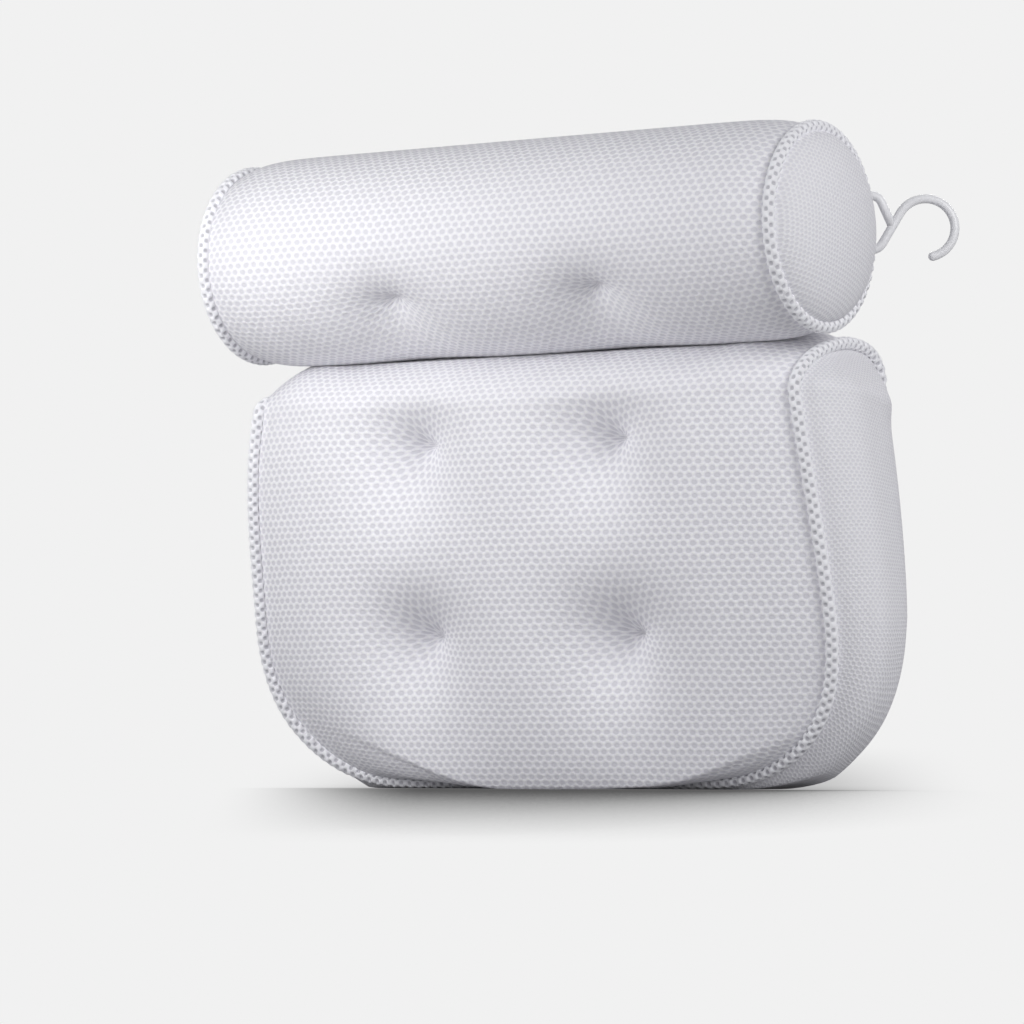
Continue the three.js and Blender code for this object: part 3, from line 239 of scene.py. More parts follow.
def pressed_by_bolster(points):
    """Pushes points of the pad's top out of the bolster, straight away from its axis."""
    away = points[..., 1:] - BOLSTER_CENTRE[1:]
    distance = np.linalg.norm(away, axis=-1)
    reach = bolster_radius(points[..., 0]) + PRESS_CLEARANCE
    push = np.maximum(1, reach / distance)
    points[..., 1:] = BOLSTER_CENTRE[1:] + away * push[..., None]
    return points


def pad_side_grid(side):
    """Half of the panel, base seam to top, with tufts worked into the front and cup seats into the back,
    and the shift of the cloth map that the tufts make."""
    column = np.linspace(-1, 1, PAD_COLUMNS)[None, :]
    plain = pad_panel(side, column, even_rises(side)[:, None])
    points = plain.copy()
    pull = np.zeros((*plain.shape[:2], 2))
    fade = 1 - np.abs(column) ** PAD_CROWN_FULLNESS
    for height in PAD_TUFT_HEIGHTS:
        place = PAD_TUFT_COLUMN * pad_half_width(np.array(height))
        across, up = np.abs(plain[..., 0]) - place, plain[..., 2] - height
        if side is PAD_FRONT:
            points[..., 1] += PAD_TUFT_DEPTH * tuft_share(across, up) * fade
            pull += swallowed(across, up) * np.stack(np.broadcast_arrays(np.sign(plain[..., 0]), 1.0), -1)
        else:
            seat = pad_seam_depth(side, height) + side["crown"] - PAD_CUP_SEAT_DEPTH
            past = smooth_step(CUP_SEAT_RADIUS, TUFT_REACH, np.hypot(across, up))
            points[..., 1] = seat + (points[..., 1] - seat) * past
    points[1:, :, 2] = np.maximum(points[1:, :, 2], 0)
    return pressed_by_bolster(plain), pressed_by_bolster(points), pull


def smooth_line(values, rounds):
    """Runs of an open line's values averaged with their two neighbours, over and over."""
    for _ in range(rounds):
        ends = np.concatenate([values[:1], values, values[-1:]])
        values = (ends[:-2] + 2 * values + ends[2:]) / 4
    return values


def seam_places():
    """Rows of the panel's front half, columns and rows of its back half, along the seam: down one side,
    along the base and up the other side."""
    last = PAD_ROWS - 1
    rows = np.concatenate([np.arange(last, 0, -1), np.zeros(PAD_COLUMNS, int), np.arange(1, PAD_ROWS)])
    columns = np.concatenate([np.zeros(last, int), np.arange(PAD_COLUMNS), np.full(last, PAD_COLUMNS - 1)])
    return rows, columns, 2 * last - rows


def pad_grids():
    """Panel and band: the band spans from the front seam to the back seam at every place along it, and
    bulges outwards between them, less at the left than at the right."""
    front_plain, front, front_pull = pad_side_grid(PAD_FRONT)
    back_plain, back, back_pull = pad_side_grid(PAD_BACK)
    panel = np.concatenate([front, back[-2::-1]])
    plain = np.concatenate([front_plain, back_plain[-2::-1]])
    middle_row, middle_column = PAD_ROWS // 2, PAD_COLUMNS // 2
    across = run_length(plain, 1)
    up = run_length(plain, 0)
    cloth = np.stack([across - across[:, [middle_column]], up - up[[middle_row]]], -1)
    cloth += np.concatenate([front_pull, back_pull[-2::-1]])
    front_rows, columns, back_rows = seam_places()
    front_seam, back_seam = panel[front_rows, columns], panel[back_rows, columns]
    way = np.gradient(front_seam, axis=0)
    outward = np.stack([way[:, 2], np.zeros(len(way)), -way[:, 0]], -1)
    outward = smooth_line(outward / np.linalg.norm(outward, axis=-1, keepdims=True), PAD_BAND_SMOOTHING)
    span = np.linalg.norm(front_seam - back_seam, axis=-1)
    fullness = 1 - smooth_step(*PAD_BULGE_FADE, front_seam[:, 2])
    downward = np.clip(-outward[:, 2], 0, 1) ** PAD_BASE_BULGE_CURVE
    side_bulge = np.where(front_seam[:, 0] < 0, PAD_LEFT_BULGE, PAD_SIDE_BULGE)
    bulge = fullness * (side_bulge + (PAD_BASE_BULGE - side_bulge) * downward)
    slack = np.where(front_seam[:, 0] < 0, *PAD_CORNER_SLACK)
    bulge *= 1 - slack * 2 * np.abs(outward[:, 0]) * np.clip(-outward[:, 2], 0, 1)
    step = np.linspace(0, 1, PAD_BAND_STEPS)
    swell = 1 - np.abs(2 * step - 1) ** PAD_BAND_CURVE
    band = front_seam[:, None] + (back_seam - front_seam)[:, None] * step[None, :, None]
    band = band + outward[:, None] * (bulge[:, None] * swell[None, :])[..., None]
    rocker = PAD_ROCKER_RISE * (np.maximum(np.abs(band[..., 0]) - PAD_ROCKER_FROM, 0) / PAD_ROCKER_RUN) ** 2
    band[:, 1:-1, 2] = np.maximum(band[:, 1:-1, 2], rocker[:, 1:-1])
    along = run_length(front_seam, 0)
    band_cloth = np.stack([run_length(band, 1) - span[:, None] / 2,
                           np.broadcast_to(along[:, None], band.shape[:2])], -1)
    return panel, cloth, band, band_cloth


def spline_weights(count, stride):
    """Weights of a Catmull-Rom spline that carries values at every stride-th point to the whole line."""
    away = np.abs(np.arange(count)[:, None] / stride - np.arange((count - 1) // stride + 1)[None, :])
    near = 1 - 2.5 * away ** 2 + 1.5 * away ** 3
    far = 2 - 4 * away + 2.5 * away ** 2 - 0.5 * away ** 3
    weights = np.where(away < 1, near, np.where(away < 2, far, 0))
    return weights / weights.sum(1, keepdims=True)


def grid_quads(index):
    """Quads between the neighbours of a grid of point numbers."""
    return np.stack([index[:-1, :-1], index[:-1, 1:], index[1:, 1:], index[1:, :-1]], -1).reshape(-1, 4)


def puffed(grid, held, stride):
    """Swells a grid of cloth: every stride-th point joins a simulated cloth with pressure behind it and a
    little spare length, which stays still where it is held. What it moves, capped and smoothed, is carried
    to the whole grid by splines."""
    start = grid[::stride, ::stride]
    rows, columns = start.shape[:2]
    index = np.arange(rows * columns).reshape(rows, columns)
    mesh = bpy.data.meshes.new("trial_cloth")
    mesh.from_pydata((start.reshape(-1, 3) * MILLIMETRE).tolist(), [], grid_quads(index).tolist())
    trial = bpy.data.objects.new("trial_cloth", mesh)
    bpy.context.collection.objects.link(trial)
    group = trial.vertex_groups.new(name="held")
    group.add(index[held[::stride, ::stride]].tolist(), 1.0, "REPLACE")
    cloth = trial.modifiers.new("cloth", "CLOTH")
    cloth.settings.vertex_group_mass = "held"
    cloth.settings.quality = 6
    cloth.settings.mass = 0.3
    cloth.settings.tension_stiffness = 20.0
    cloth.settings.compression_stiffness = 20.0
    cloth.settings.shear_stiffness = 8.0
    cloth.settings.bending_stiffness = 2.0
    cloth.settings.use_pressure = True
    cloth.settings.uniform_pressure_force = PUFF_PRESSURE
    cloth.settings.shrink_min = -PUFF_SPARE_LENGTH
    cloth.settings.effector_weights.gravity = 0.0
    cloth.collision_settings.use_collision = False
    scene = bpy.context.scene
    for step in range(1, PUFF_FRAMES + 1):
        scene.frame_set(step)
    shaped = trial.evaluated_get(bpy.context.evaluated_depsgraph_get()).data
    result = np.empty(3 * rows * columns, np.float32)
    shaped.vertices.foreach_get("co", result)
    bpy.data.objects.remove(trial)
    bpy.data.meshes.remove(mesh)
    scene.frame_set(1)
    moved = result.reshape(rows, columns, 3) / MILLIMETRE - start
    moved *= np.minimum(1, PUFF_CAP / np.maximum(np.linalg.norm(moved, axis=-1, keepdims=True), 1e-6))
    free = ~held[::stride, ::stride, None]
    for _ in range(PUFF_SMOOTHING):
        moved = smooth_line(smooth_line(moved, 1).swapaxes(0, 1), 1).swapaxes(0, 1) * free
    carry_rows, carry_columns = spline_weights(grid.shape[0], stride), spline_weights(grid.shape[1], stride)
    return grid + np.einsum("ij,jkc,lk->ilc", carry_rows, moved, carry_columns)


def mesh_piece(name, materials, grids):
    """One smooth mesh of several grids of points in millimetres, quads between neighbours, with each
    grid's cloth map in millimetres; points that coincide are merged and the faces turned outwards. The
    first grid takes the piece's first material and the others take its second."""
    start, points, quads, maps, cuts = 0, [], [], [], []
    for part, (grid, cloth) in enumerate(grids):
        rows, columns = grid.shape[:2]
        index = start + np.arange(rows * columns).reshape(rows, columns)
        quads.append(grid_quads(index))
        points.append(grid.reshape(-1, 3))
        maps.append(cloth.reshape(-1, 2))
        cuts.append(np.full((rows - 1) * (columns - 1), min(part, 1), np.int32))
        start += rows * columns
    points, quads, maps = np.concatenate(points), np.concatenate(quads), np.concatenate(maps)
    mesh = bpy.data.meshes.new(name)
    for material in materials:
        mesh.materials.append(material)
    mesh.vertices.add(len(points))
    mesh.vertices.foreach_set("co", (points * MILLIMETRE).astype(np.float32).ravel())
    mesh.loops.add(quads.size)
    mesh.loops.foreach_set("vertex_index", quads.ravel().astype(np.int32))
    mesh.polygons.add(len(quads))
    mesh.polygons.foreach_set("loop_start", np.arange(0, quads.size, 4, dtype=np.int32))
    mesh.polygons.foreach_set("material_index", np.concatenate(cuts))
    mesh.update(calc_edges=True)
    layer = mesh.uv_layers.new(name="cloth_mm")
    layer.uv.foreach_set("vector", maps[quads.ravel()].astype(np.float32).ravel())
    shape = bmesh.new()
    shape.from_mesh(mesh)
    bmesh.ops.remove_doubles(shape, verts=shape.verts, dist=WELD_DISTANCE)
    bmesh.ops.recalc_face_normals(shape, faces=shape.faces)
    shape.to_mesh(mesh)
    shape.free()
    mesh.shade_smooth()
    piece = bpy.data.objects.new(name, mesh)
    bpy.context.collection.objects.link(piece)
    return piece


def linear(hex_colour):
    """An sRGB hex colour as linear red, green, blue and alpha 1."""
    parts = np.array([int(hex_colour[i:i + 2], 16) / 255 for i in (1, 3, 5)])
    return (*np.where(parts <= 0.04045, parts / 12.92, ((parts + 0.055) / 1.055) ** 2.4), 1.0)


def node(tree, kind, inputs=None, **settings):
    """Adds a node with its settings; an input is a value for the socket, or another socket to link."""
    made = tree.nodes.new(kind)
    for key, value in settings.items():
        setattr(made, key, value)
    for key, value in (inputs or {}).items():
        if isinstance(value, bpy.types.NodeSocket):
            tree.links.new(value, made.inputs[key])
        else:
            made.inputs[key].default_value = value
    return made


def new_material(name, **surface):
    """A material with one Principled surface, whose sockets take the values given in words."""
    material = bpy.data.materials.new(name)
    material.use_nodes = True
    shader = material.node_tree.nodes["Principled BSDF"]
    for key, value in surface.items():
        shader.inputs[key.replace("_", " ").title().replace("Ior", "IOR")].default_value = value
    return material, material.node_tree, shader


# Knitted polyester spacer mesh: a soft matt white net with round openings in staggered rows. The
# openings are painted grey as the shade of the filaments behind the face, and where the net's legs
# cross a painted highlight stands for the light they catch. The band and the bolster's round ends are a
# finer knit of it.
MESH_THREAD = "#f5f4f9"
MESH_CROSSING_HIGHLIGHT = "#ffffff"
MESH_OPENING_SHADE = "#e2e1e7"
MESH_FINE_OPENING_SHADE = "#e9e8ed"
MESH_COLUMN_PITCH = 5.2
MESH_ROW_PITCH = 3.45
MESH_FINE_SHARE = 0.56
MESH_OPENING_DEPTH = 0.0006
MESH_UNEVEN_SIZE = 0.75
MESH_UNEVEN_HEIGHT = 2.6
MESH_WANDER_SIZE = 9.0
MESH_WANDER = 1.3
MESH_OPENING_EDGE = (0.75, 2.05)
MESH_CROSSING_EDGE = (0.5, -0.2)
MESH_BUMP = 0.4


def spacer_mesh(name, opening_shade, scale):
    """With a the cosine across the columns and d that down two rows, the lattice 2d(a + d) - 1 peaks at 3 in
    staggered openings and falls to -1.5 where threads cross; the rows wander, and the threads are uneven."""
    material, tree, shader = new_material(name, roughness=0.88, ior=1.5, sheen_weight=0.08,
                                          sheen_roughness=0.5)
    cloth = node(tree, "ShaderNodeUVMap", uv_map="cloth_mm")
    wander = node(tree, "ShaderNodeTexNoise", {"Vector": cloth.outputs["UV"], "Scale": 1 / MESH_WANDER_SIZE,
                                               "Detail": 1.0})
    moved = node(tree, "ShaderNodeVectorMath", {0: wander.outputs["Color"], 1: (MESH_WANDER * scale,) * 3,
                                                2: cloth.outputs["UV"]}, operation="MULTIPLY_ADD")
    split = node(tree, "ShaderNodeSeparateXYZ", {"Vector": moved.outputs["Vector"]})
    across = node(tree, "ShaderNodeMath", {0: split.outputs["X"], 1: 2 * np.pi / (MESH_COLUMN_PITCH * scale)},
                  operation="MULTIPLY")
    down = node(tree, "ShaderNodeMath", {0: split.outputs["Y"], 1: np.pi / (MESH_ROW_PITCH * scale)},
                operation="MULTIPLY")
    across = node(tree, "ShaderNodeMath", {0: across.outputs[0]}, operation="COSINE")
    down = node(tree, "ShaderNodeMath", {0: down.outputs[0]}, operation="COSINE")
    both = node(tree, "ShaderNodeMath", {0: across.outputs[0], 1: down.outputs[0]}, operation="ADD")
    lattice = node(tree, "ShaderNodeMath", {0: both.outputs[0], 1: down.outputs[0]}, operation="MULTIPLY")
    lattice = node(tree, "ShaderNodeMath", {0: lattice.outputs[0], 1: 2.0, 2: -1.0}, operation="MULTIPLY_ADD")
    uneven = node(tree, "ShaderNodeTexNoise", {"Vector": cloth.outputs["UV"], "Detail": 4.0,
                                               "Scale": 1 / (MESH_UNEVEN_SIZE * scale)})
    lattice = node(tree, "ShaderNodeMath", {0: uneven.outputs["Fac"], 1: MESH_UNEVEN_HEIGHT,
                                            2: lattice.outputs[0]}, operation="MULTIPLY_ADD")
    hole = node(tree, "ShaderNodeMapRange", {"Value": lattice.outputs[0], "From Min": MESH_OPENING_EDGE[0],
                                             "From Max": MESH_OPENING_EDGE[1]},
                interpolation_type="SMOOTHSTEP")
    crossing = node(tree, "ShaderNodeMapRange", {"Value": lattice.outputs[0],
                                                 "From Min": MESH_CROSSING_EDGE[0],
                                                 "From Max": MESH_CROSSING_EDGE[1]},
                    interpolation_type="SMOOTHSTEP")
    # Painted shade: the openings are mixed towards a greyer colour for the shaded filaments behind the face.
    colour = node(tree, "ShaderNodeMix", {"Factor": hole.outputs[0], "A": linear(MESH_THREAD),
                                          "B": linear(opening_shade)}, data_type="RGBA")
    # Painted highlight: where the threads cross, the colour is mixed towards pure white for the light they
    # catch.
    colour = node(tree, "ShaderNodeMix", {"Factor": crossing.outputs[0], "A": colour.outputs["Result"],
                                          "B": linear(MESH_CROSSING_HIGHLIGHT)}, data_type="RGBA")
    relief = node(tree, "ShaderNodeMath", {0: crossing.outputs[0], 1: hole.outputs[0]}, operation="SUBTRACT")
    relief = node(tree, "ShaderNodeMath", {0: relief.outputs[0], 1: uneven.outputs["Fac"]}, operation="ADD")
    bump = node(tree, "ShaderNodeBump", {"Height": relief.outputs[0], "Strength": MESH_BUMP,
                                         "Distance": MESH_OPENING_DEPTH})
    tree.links.new(colour.outputs["Result"], shader.inputs["Base Color"])
    tree.links.new(bump.outputs["Normal"], shader.inputs["Normal"])
    return material


pad_cloth = spacer_mesh("white_spacer_mesh", MESH_OPENING_SHADE, scale=1.0)
fine_cloth = spacer_mesh("white_fine_spacer_mesh", MESH_FINE_OPENING_SHADE, MESH_FINE_SHARE)
panel_points, panel_cloth, band_points, band_cloth = pad_grids()
panel_x, panel_y, panel_z = np.moveaxis(panel_points, -1, 0)
panel_held = np.zeros(panel_x.shape, bool)
panel_held[[0, -1]] = True
panel_held[:, [0, -1]] = True
panel_held |= panel_z < HELD_FLOOR
bolster_away = np.linalg.norm(panel_points[..., 1:] - BOLSTER_CENTRE[1:], axis=-1)
panel_held |= bolster_away < BOLSTER_FULL + HELD_BOLSTER_GAP
for height in PAD_TUFT_HEIGHTS:
    tuft_x = PAD_TUFT_COLUMN * pad_half_width(np.array(height))
    stitch_away = np.hypot(np.abs(panel_x) - tuft_x, panel_z - height)
    panel_held |= stitch_away < np.where(panel_y > 0, CUP_SEAT_RADIUS, HELD_STITCH)
panel_held |= (panel_z > PAD_SHOULDER) & (panel_y > 0) & (np.abs(panel_x) < HELD_STRIP_HALF)
panel_points = puffed(panel_points, panel_held, PUFF_STRIDE)
pad_cushion = mesh_piece("back_pad_cushion", [pad_cloth, fine_cloth],
                         [(panel_points, panel_cloth), (band_points, band_cloth)])
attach(pad_cushion, "back_pad")
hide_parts("pad_cover_panel", "pad_side_band", "pad_core")

# Seam bead of the pad
# A strip of the same mesh wrapped round a cord and sewn into the seam, so its openings are pulled
# into a braid. It runs round the front and the back of the side band in one piece.

BEAD_RADIUS = 3.4
BEAD_STAND_OFF = 1.8
BEAD_PITCH = 5.2
BEAD_OPENINGS_ROUND = 3
BEAD_OPENING_DEPTH = 1.1
BEAD_AROUND = 32
BEAD_STEP = 0.7
BEAD_OPENING_EDGE = (-0.2, 0.6)
BEAD_FLOOR_GAP = 0.2
BEAD_SMOOTHING = 6
SEAM_SMOOTHING = 12
BEAD_TUCK = 6.2
BEAD_TUCK_HEIGHTS = (203.0, 214.0)


def even_loop(points, step):
    """A closed line resampled at even steps along its length, with the first point repeated at the end."""
    closed = np.concatenate([points, points[:1]])
    length = run_length(closed, 0)
    count = int(round(length[-1] / step))
    at = np.linspace(0, length[-1], count + 1)
    return np.stack([np.interp(at, length, closed[:, i]) for i in range(3)], -1), at


def unit(vectors):
    """Vectors of length one."""
    return vectors / np.maximum(np.linalg.norm(vectors, axis=-1, keepdims=True), 1e-9)


def grid_normals(grid):
    """Normals of a grid, the cross product of its two gradients."""
    return unit(np.cross(np.gradient(grid, axis=1), np.gradient(grid, axis=0)))


def smooth_loop(values, rounds):
    """Runs of a closed line's values averaged with their two neighbours, over and over."""
    for _ in range(rounds):
        values = (np.roll(values, 1, 0) + 2 * values + np.roll(values, -1, 0)) / 4
    return values


def braided_bead(middle, outward, along, radius):
    """A tube round a closed middle line, its skin sunk at staggered openings by the product of a sine
    round it and a cosine along it, so that two rows of openings face outwards."""
    way = unit(np.roll(middle[:-1], -1, 0) - np.roll(middle[:-1], 1, 0))
    way = np.concatenate([way, way[:1]])
    up = unit(outward - way * (outward * way).sum(-1, keepdims=True))
    side = np.cross(way, up)
    angle = np.linspace(0, 2 * np.pi, BEAD_AROUND + 1)
    pitch = along[-1] / round(along[-1] / BEAD_PITCH)
    net = np.sin(BEAD_OPENINGS_ROUND * angle)[None, :] * np.cos(2 * np.pi * along / pitch)[:, None]
    sink = radius - BEAD_OPENING_DEPTH * smooth_step(*BEAD_OPENING_EDGE, net)
    grid = (middle[:, None] + (up[:, None] * np.cos(angle)[None, :, None]
                               + side[:, None] * np.sin(angle)[None, :, None]) * sink[..., None])
    round_it, along_it = angle[None, :] * BEAD_OPENINGS_ROUND, 2 * np.pi * along[:, None] / pitch
    cloth = np.stack(np.broadcast_arrays(round_it, along_it), -1)
    return grid, cloth


# The bead's knit is the same polyester, pulled open, so its holes are deeper, and they are painted darker as
# shade.
BEAD_THREAD = "#fafafd"
BEAD_OPENING_SHADE = "#c4c3c9"
BEAD_SHADE_EDGE = (-0.1, 0.7)
BEAD_FUZZ = 0.4
BEAD_FUZZ_SCALE = 2.5
BEAD_FUZZ_DEPTH = 0.0004


def braided_mesh(name):
    """The openings follow the cloth map, which counts radians of the braid round and along the bead."""
    material, tree, shader = new_material(name, roughness=0.85, ior=1.5, sheen_weight=0.1)
    cloth = node(tree, "ShaderNodeUVMap", uv_map="cloth_mm")
    split = node(tree, "ShaderNodeSeparateXYZ", {"Vector": cloth.outputs["UV"]})
    across = node(tree, "ShaderNodeMath", {0: split.outputs["X"]}, operation="SINE")
    down = node(tree, "ShaderNodeMath", {0: split.outputs["Y"]}, operation="COSINE")
    net = node(tree, "ShaderNodeMath", {0: across.outputs[0], 1: down.outputs[0]}, operation="MULTIPLY")
    hole = node(tree, "ShaderNodeMapRange", {"Value": net.outputs[0], "From Min": BEAD_SHADE_EDGE[0],
                                             "From Max": BEAD_SHADE_EDGE[1]}, interpolation_type="SMOOTHSTEP")
    # Painted shade: the holes are mixed towards a darker colour.
    colour = node(tree, "ShaderNodeMix", {"Factor": hole.outputs[0], "A": linear(BEAD_THREAD),
                                          "B": linear(BEAD_OPENING_SHADE)}, data_type="RGBA")
    fuzz = node(tree, "ShaderNodeTexNoise", {"Vector": cloth.outputs["UV"], "Scale": BEAD_FUZZ_SCALE,
                                             "Detail": 2.0})
    bump = node(tree, "ShaderNodeBump", {"Height": fuzz.outputs["Fac"], "Strength": BEAD_FUZZ,
                                         "Distance": BEAD_FUZZ_DEPTH})
    tree.links.new(colour.outputs["Result"], shader.inputs["Base Color"])
    tree.links.new(bump.outputs["Normal"], shader.inputs["Normal"])
    return material


def pad_seam_loop():
    """The seam as one closed line, front then back, with the mean outward direction of panel and band."""
    panel_out, band_out = grid_normals(panel_points), grid_normals(band_points)
    front_rows, columns, back_rows = seam_places()
    front = unit(panel_out[front_rows, columns] + band_out[:, 0])
    back = unit(panel_out[back_rows, columns] + band_out[:, -1])
    seam = np.concatenate([band_points[:, 0], band_points[-2:0:-1, -1]])
    outward = np.concatenate([front, back[-2:0:-1]])
    return seam, unit(smooth_loop(outward, SEAM_SMOOTHING))


bead_knit = braided_mesh("white_braided_mesh")
seam_line, seam_out = pad_seam_loop()
bead_tuck = smooth_step(*BEAD_TUCK_HEIGHTS, seam_line[:, 2]) * (seam_line[:, 0] < 0)
bead_out = seam_out * (BEAD_STAND_OFF - BEAD_TUCK * bead_tuck)[:, None]
bead_line = smooth_loop(seam_line + bead_out, BEAD_SMOOTHING)
bead_line[:, 2] = np.maximum(bead_line[:, 2], BEAD_RADIUS + BEAD_FLOOR_GAP)
bead_middle, bead_along = even_loop(bead_line, BEAD_STEP)
bead_length = run_length(np.concatenate([bead_line, bead_line[:1]]), 0)
closed_out = np.concatenate([seam_out, seam_out[:1]])
bead_out = np.stack([np.interp(bead_along, bead_length, closed_out[:, i]) for i in range(3)], -1)
pad_bead = mesh_piece("pad_seam_braid", [bead_knit],
                      [braided_bead(bead_middle, bead_out, bead_along, BEAD_RADIUS)])
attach(pad_bead, "back_pad")
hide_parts("pad_seam_bead")

# Headrest bolster
# A round sleeve of the same mesh, drawn in at its end seams and closed with a domed round panel at
# each end, filled with fibre. Two stitches draw its front in, and it is tipped 40 degrees forward.

BOLSTER_TIP = np.radians(40.0)
BOLSTER_TUFT = 63.0
BOLSTER_TUFT_DEPTH = 20.0
BOLSTER_END_BULGE = 18.5
BOLSTER_DOME_CURVE = 0.5
BOLSTER_STATIONS = 201
BOLSTER_TURNS = 200
BOLSTER_DOME_STEPS = 40


def tipped(points):
    """Turns points made round the X axis by the bolster's tip and moves them to its place."""
    c, s = np.cos(BOLSTER_TIP), np.sin(BOLSTER_TIP)
    x, y, z = points[..., 0], points[..., 1], points[..., 2]
    return np.stack([x, y * c - z * s, y * s + z * c], -1) + BOLSTER_CENTRE


def bolster_sleeve():
    """A barrel round X: its radius less the tufts at -Y, with flat cup seats at +Y."""
    along = np.linspace(-BOLSTER_LENGTH / 2, BOLSTER_LENGTH / 2, BOLSTER_STATIONS)[None, :]
    turn = np.linspace(0, -2 * np.pi, BOLSTER_TURNS + 1)[:, None]
    radius = bolster_radius(along)
    from_tuft = np.abs(along) - BOLSTER_TUFT
    up = -radius * (np.pi + turn)
    depth = BOLSTER_TUFT_DEPTH * tuft_share(from_tuft, up)
    y = (radius - depth) * np.cos(turn)
    z = (radius - depth) * np.sin(turn)
    behind = np.hypot(from_tuft, radius * np.minimum(-turn, 2 * np.pi + turn))
    seat = bolster_radius(np.array(BOLSTER_TUFT)) - PAD_CUP_SEAT_DEPTH * (
        1 - smooth_step(CUP_SEAT_RADIUS, TUFT_REACH, behind))
    y = np.minimum(y, seat)
    cloth = np.stack(np.broadcast_arrays(along, -turn * BOLSTER_FULL), -1)
    cloth = cloth + swallowed(from_tuft, up) * np.stack([np.sign(along), np.ones_like(along)], -1)
    return tipped(np.stack(np.broadcast_arrays(along, y, z), -1)), cloth


def bolster_end(hand):
    """A domed disc whose height falls from its middle as a power of one less the radius squared."""
    share = np.linspace(0, 1, BOLSTER_DOME_STEPS)[None, :]
    turn = np.linspace(0, -2 * np.pi, BOLSTER_TURNS + 1)[:, None]
    x = hand * (BOLSTER_LENGTH / 2 + BOLSTER_END_BULGE * np.clip(1 - share ** 2, 0, 1) ** BOLSTER_DOME_CURVE)
    y = share * BOLSTER_END_RADIUS * np.cos(turn)
    z = share * BOLSTER_END_RADIUS * np.sin(turn)
    return tipped(np.stack(np.broadcast_arrays(x, y, z), -1)), np.stack([y, z], -1)


bolster = mesh_piece("headrest_bolster_cushion", [pad_cloth, fine_cloth],
                     [bolster_sleeve(), bolster_end(-1), bolster_end(1)])
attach(bolster, "headrest")
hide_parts("headrest_cover", "headrest_core", "headrest_end_panel_left", "headrest_end_panel_right")

# Seam beads of the bolster
# The same braided bead, sewn as a ring into the seam round each end panel. Each ring stands off its
# seam mostly outwards and a little towards the end.

RING_LEAN = np.radians(62.0)
RING_STEPS = 480
for hand, side_name in ((-1, "left"), (1, "right")):
    ring_turn = np.linspace(0, 2 * np.pi, RING_STEPS + 1)
    ring_radius = BOLSTER_END_RADIUS + BEAD_STAND_OFF * np.sin(RING_LEAN)
    ring_spoke = np.stack([np.zeros_like(ring_turn), np.cos(ring_turn), np.sin(ring_turn)], -1)
    ring_out = np.array([hand * np.cos(RING_LEAN), 0, 0]) + np.sin(RING_LEAN) * ring_spoke
    ring_seam = np.array([hand * BOLSTER_LENGTH / 2, 0, 0]) + BOLSTER_END_RADIUS * ring_spoke
    ring_middle = ring_seam + ring_out * BEAD_STAND_OFF
    ring_grid, ring_cloth = braided_bead(ring_middle, ring_out, ring_turn * ring_radius, BEAD_RADIUS)
    ring = mesh_piece(f"headrest_seam_braid_{side_name}", [bead_knit], [(tipped(ring_grid), ring_cloth)])
    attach(ring, "headrest")
    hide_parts(f"headrest_seam_bead_{side_name}")

# Tuft ties
# A waxed polyester thread pulled through each cushion, with a small round knot in the tuft and a flat
# knot on the cup seat behind. Each is turned round the thread's own line.

KNOT_RADIUS = 1.9
THREAD_RADIUS = 0.8
KNOT_TURN = 155.0
KNOT_STEPS = 14
KNOT_DISC_RADIUS = 3.0
KNOT_DISC_THICKNESS = 1.2
KNOT_DISC_ROUND = 0.5
TIE_SIDES = 24
SEAT_LIFT = 0.35


def rounded_path(corners, radius, steps=6):
    """A line of straight runs whose inner corners are rounded by a curve that starts and ends at the
    radius from the corner, or at half of a shorter run."""
    corners = np.asarray(corners, float)
    run = np.linalg.norm(np.diff(corners, axis=0), axis=-1)
    share = np.linspace(0, 1, steps)[:, None]
    parts = [corners[:1]]
    for i in range(1, len(corners) - 1):
        cut = min(radius, run[i - 1] / 2, run[i] / 2)
        before = corners[i] + (corners[i - 1] - corners[i]) * cut / run[i - 1]
        after = corners[i] + (corners[i + 1] - corners[i]) * cut / run[i]
        parts.append((1 - share) ** 2 * before + 2 * share * (1 - share) * corners[i] + share ** 2 * after)
    return np.concatenate(parts + [corners[-1:]])


def turned(profile, origin, axis, sides=56):
    """A profile of radius and height pairs turned round an axis through an origin."""
    angle = np.linspace(0, 2 * np.pi, sides + 1)[:, None]
    across = np.array([1.0, 0.0, 0.0])
    upright = np.cross(axis, across)
    spoke = np.cos(angle)[..., None] * across + np.sin(angle)[..., None] * upright
    rise = np.asarray(origin) + profile[None, :, 1, None] * np.asarray(axis)
    grid = rise + spoke * profile[None, :, 0, None]
    cloth = np.stack(np.broadcast_arrays(angle * profile[:, 0].max(), profile[None, :, 1]), -1)
    return grid, cloth


def tie_profile(tuft, seat):
    """Round knot at the tuft, thread, and flat knot on the seat, as radius and height along the thread."""
    turn = np.radians(np.linspace(0, KNOT_TURN, KNOT_STEPS))
    knot = np.stack([KNOT_RADIUS * np.sin(turn), tuft - KNOT_RADIUS * np.cos(turn)], -1)
    low = seat + SEAT_LIFT
    high = low + KNOT_DISC_THICKNESS
    disc = rounded_path([(THREAD_RADIUS, low), (KNOT_DISC_RADIUS, low), (KNOT_DISC_RADIUS, high), (0, high)],
                        KNOT_DISC_ROUND)
    return np.concatenate([knot, disc])


# Waxed polyester thread: matt white, seen only as a dot in each tuft.
thread_white = new_material("waxed_white_thread", base_color=linear("#e9e8ed"), roughness=0.6)[0]

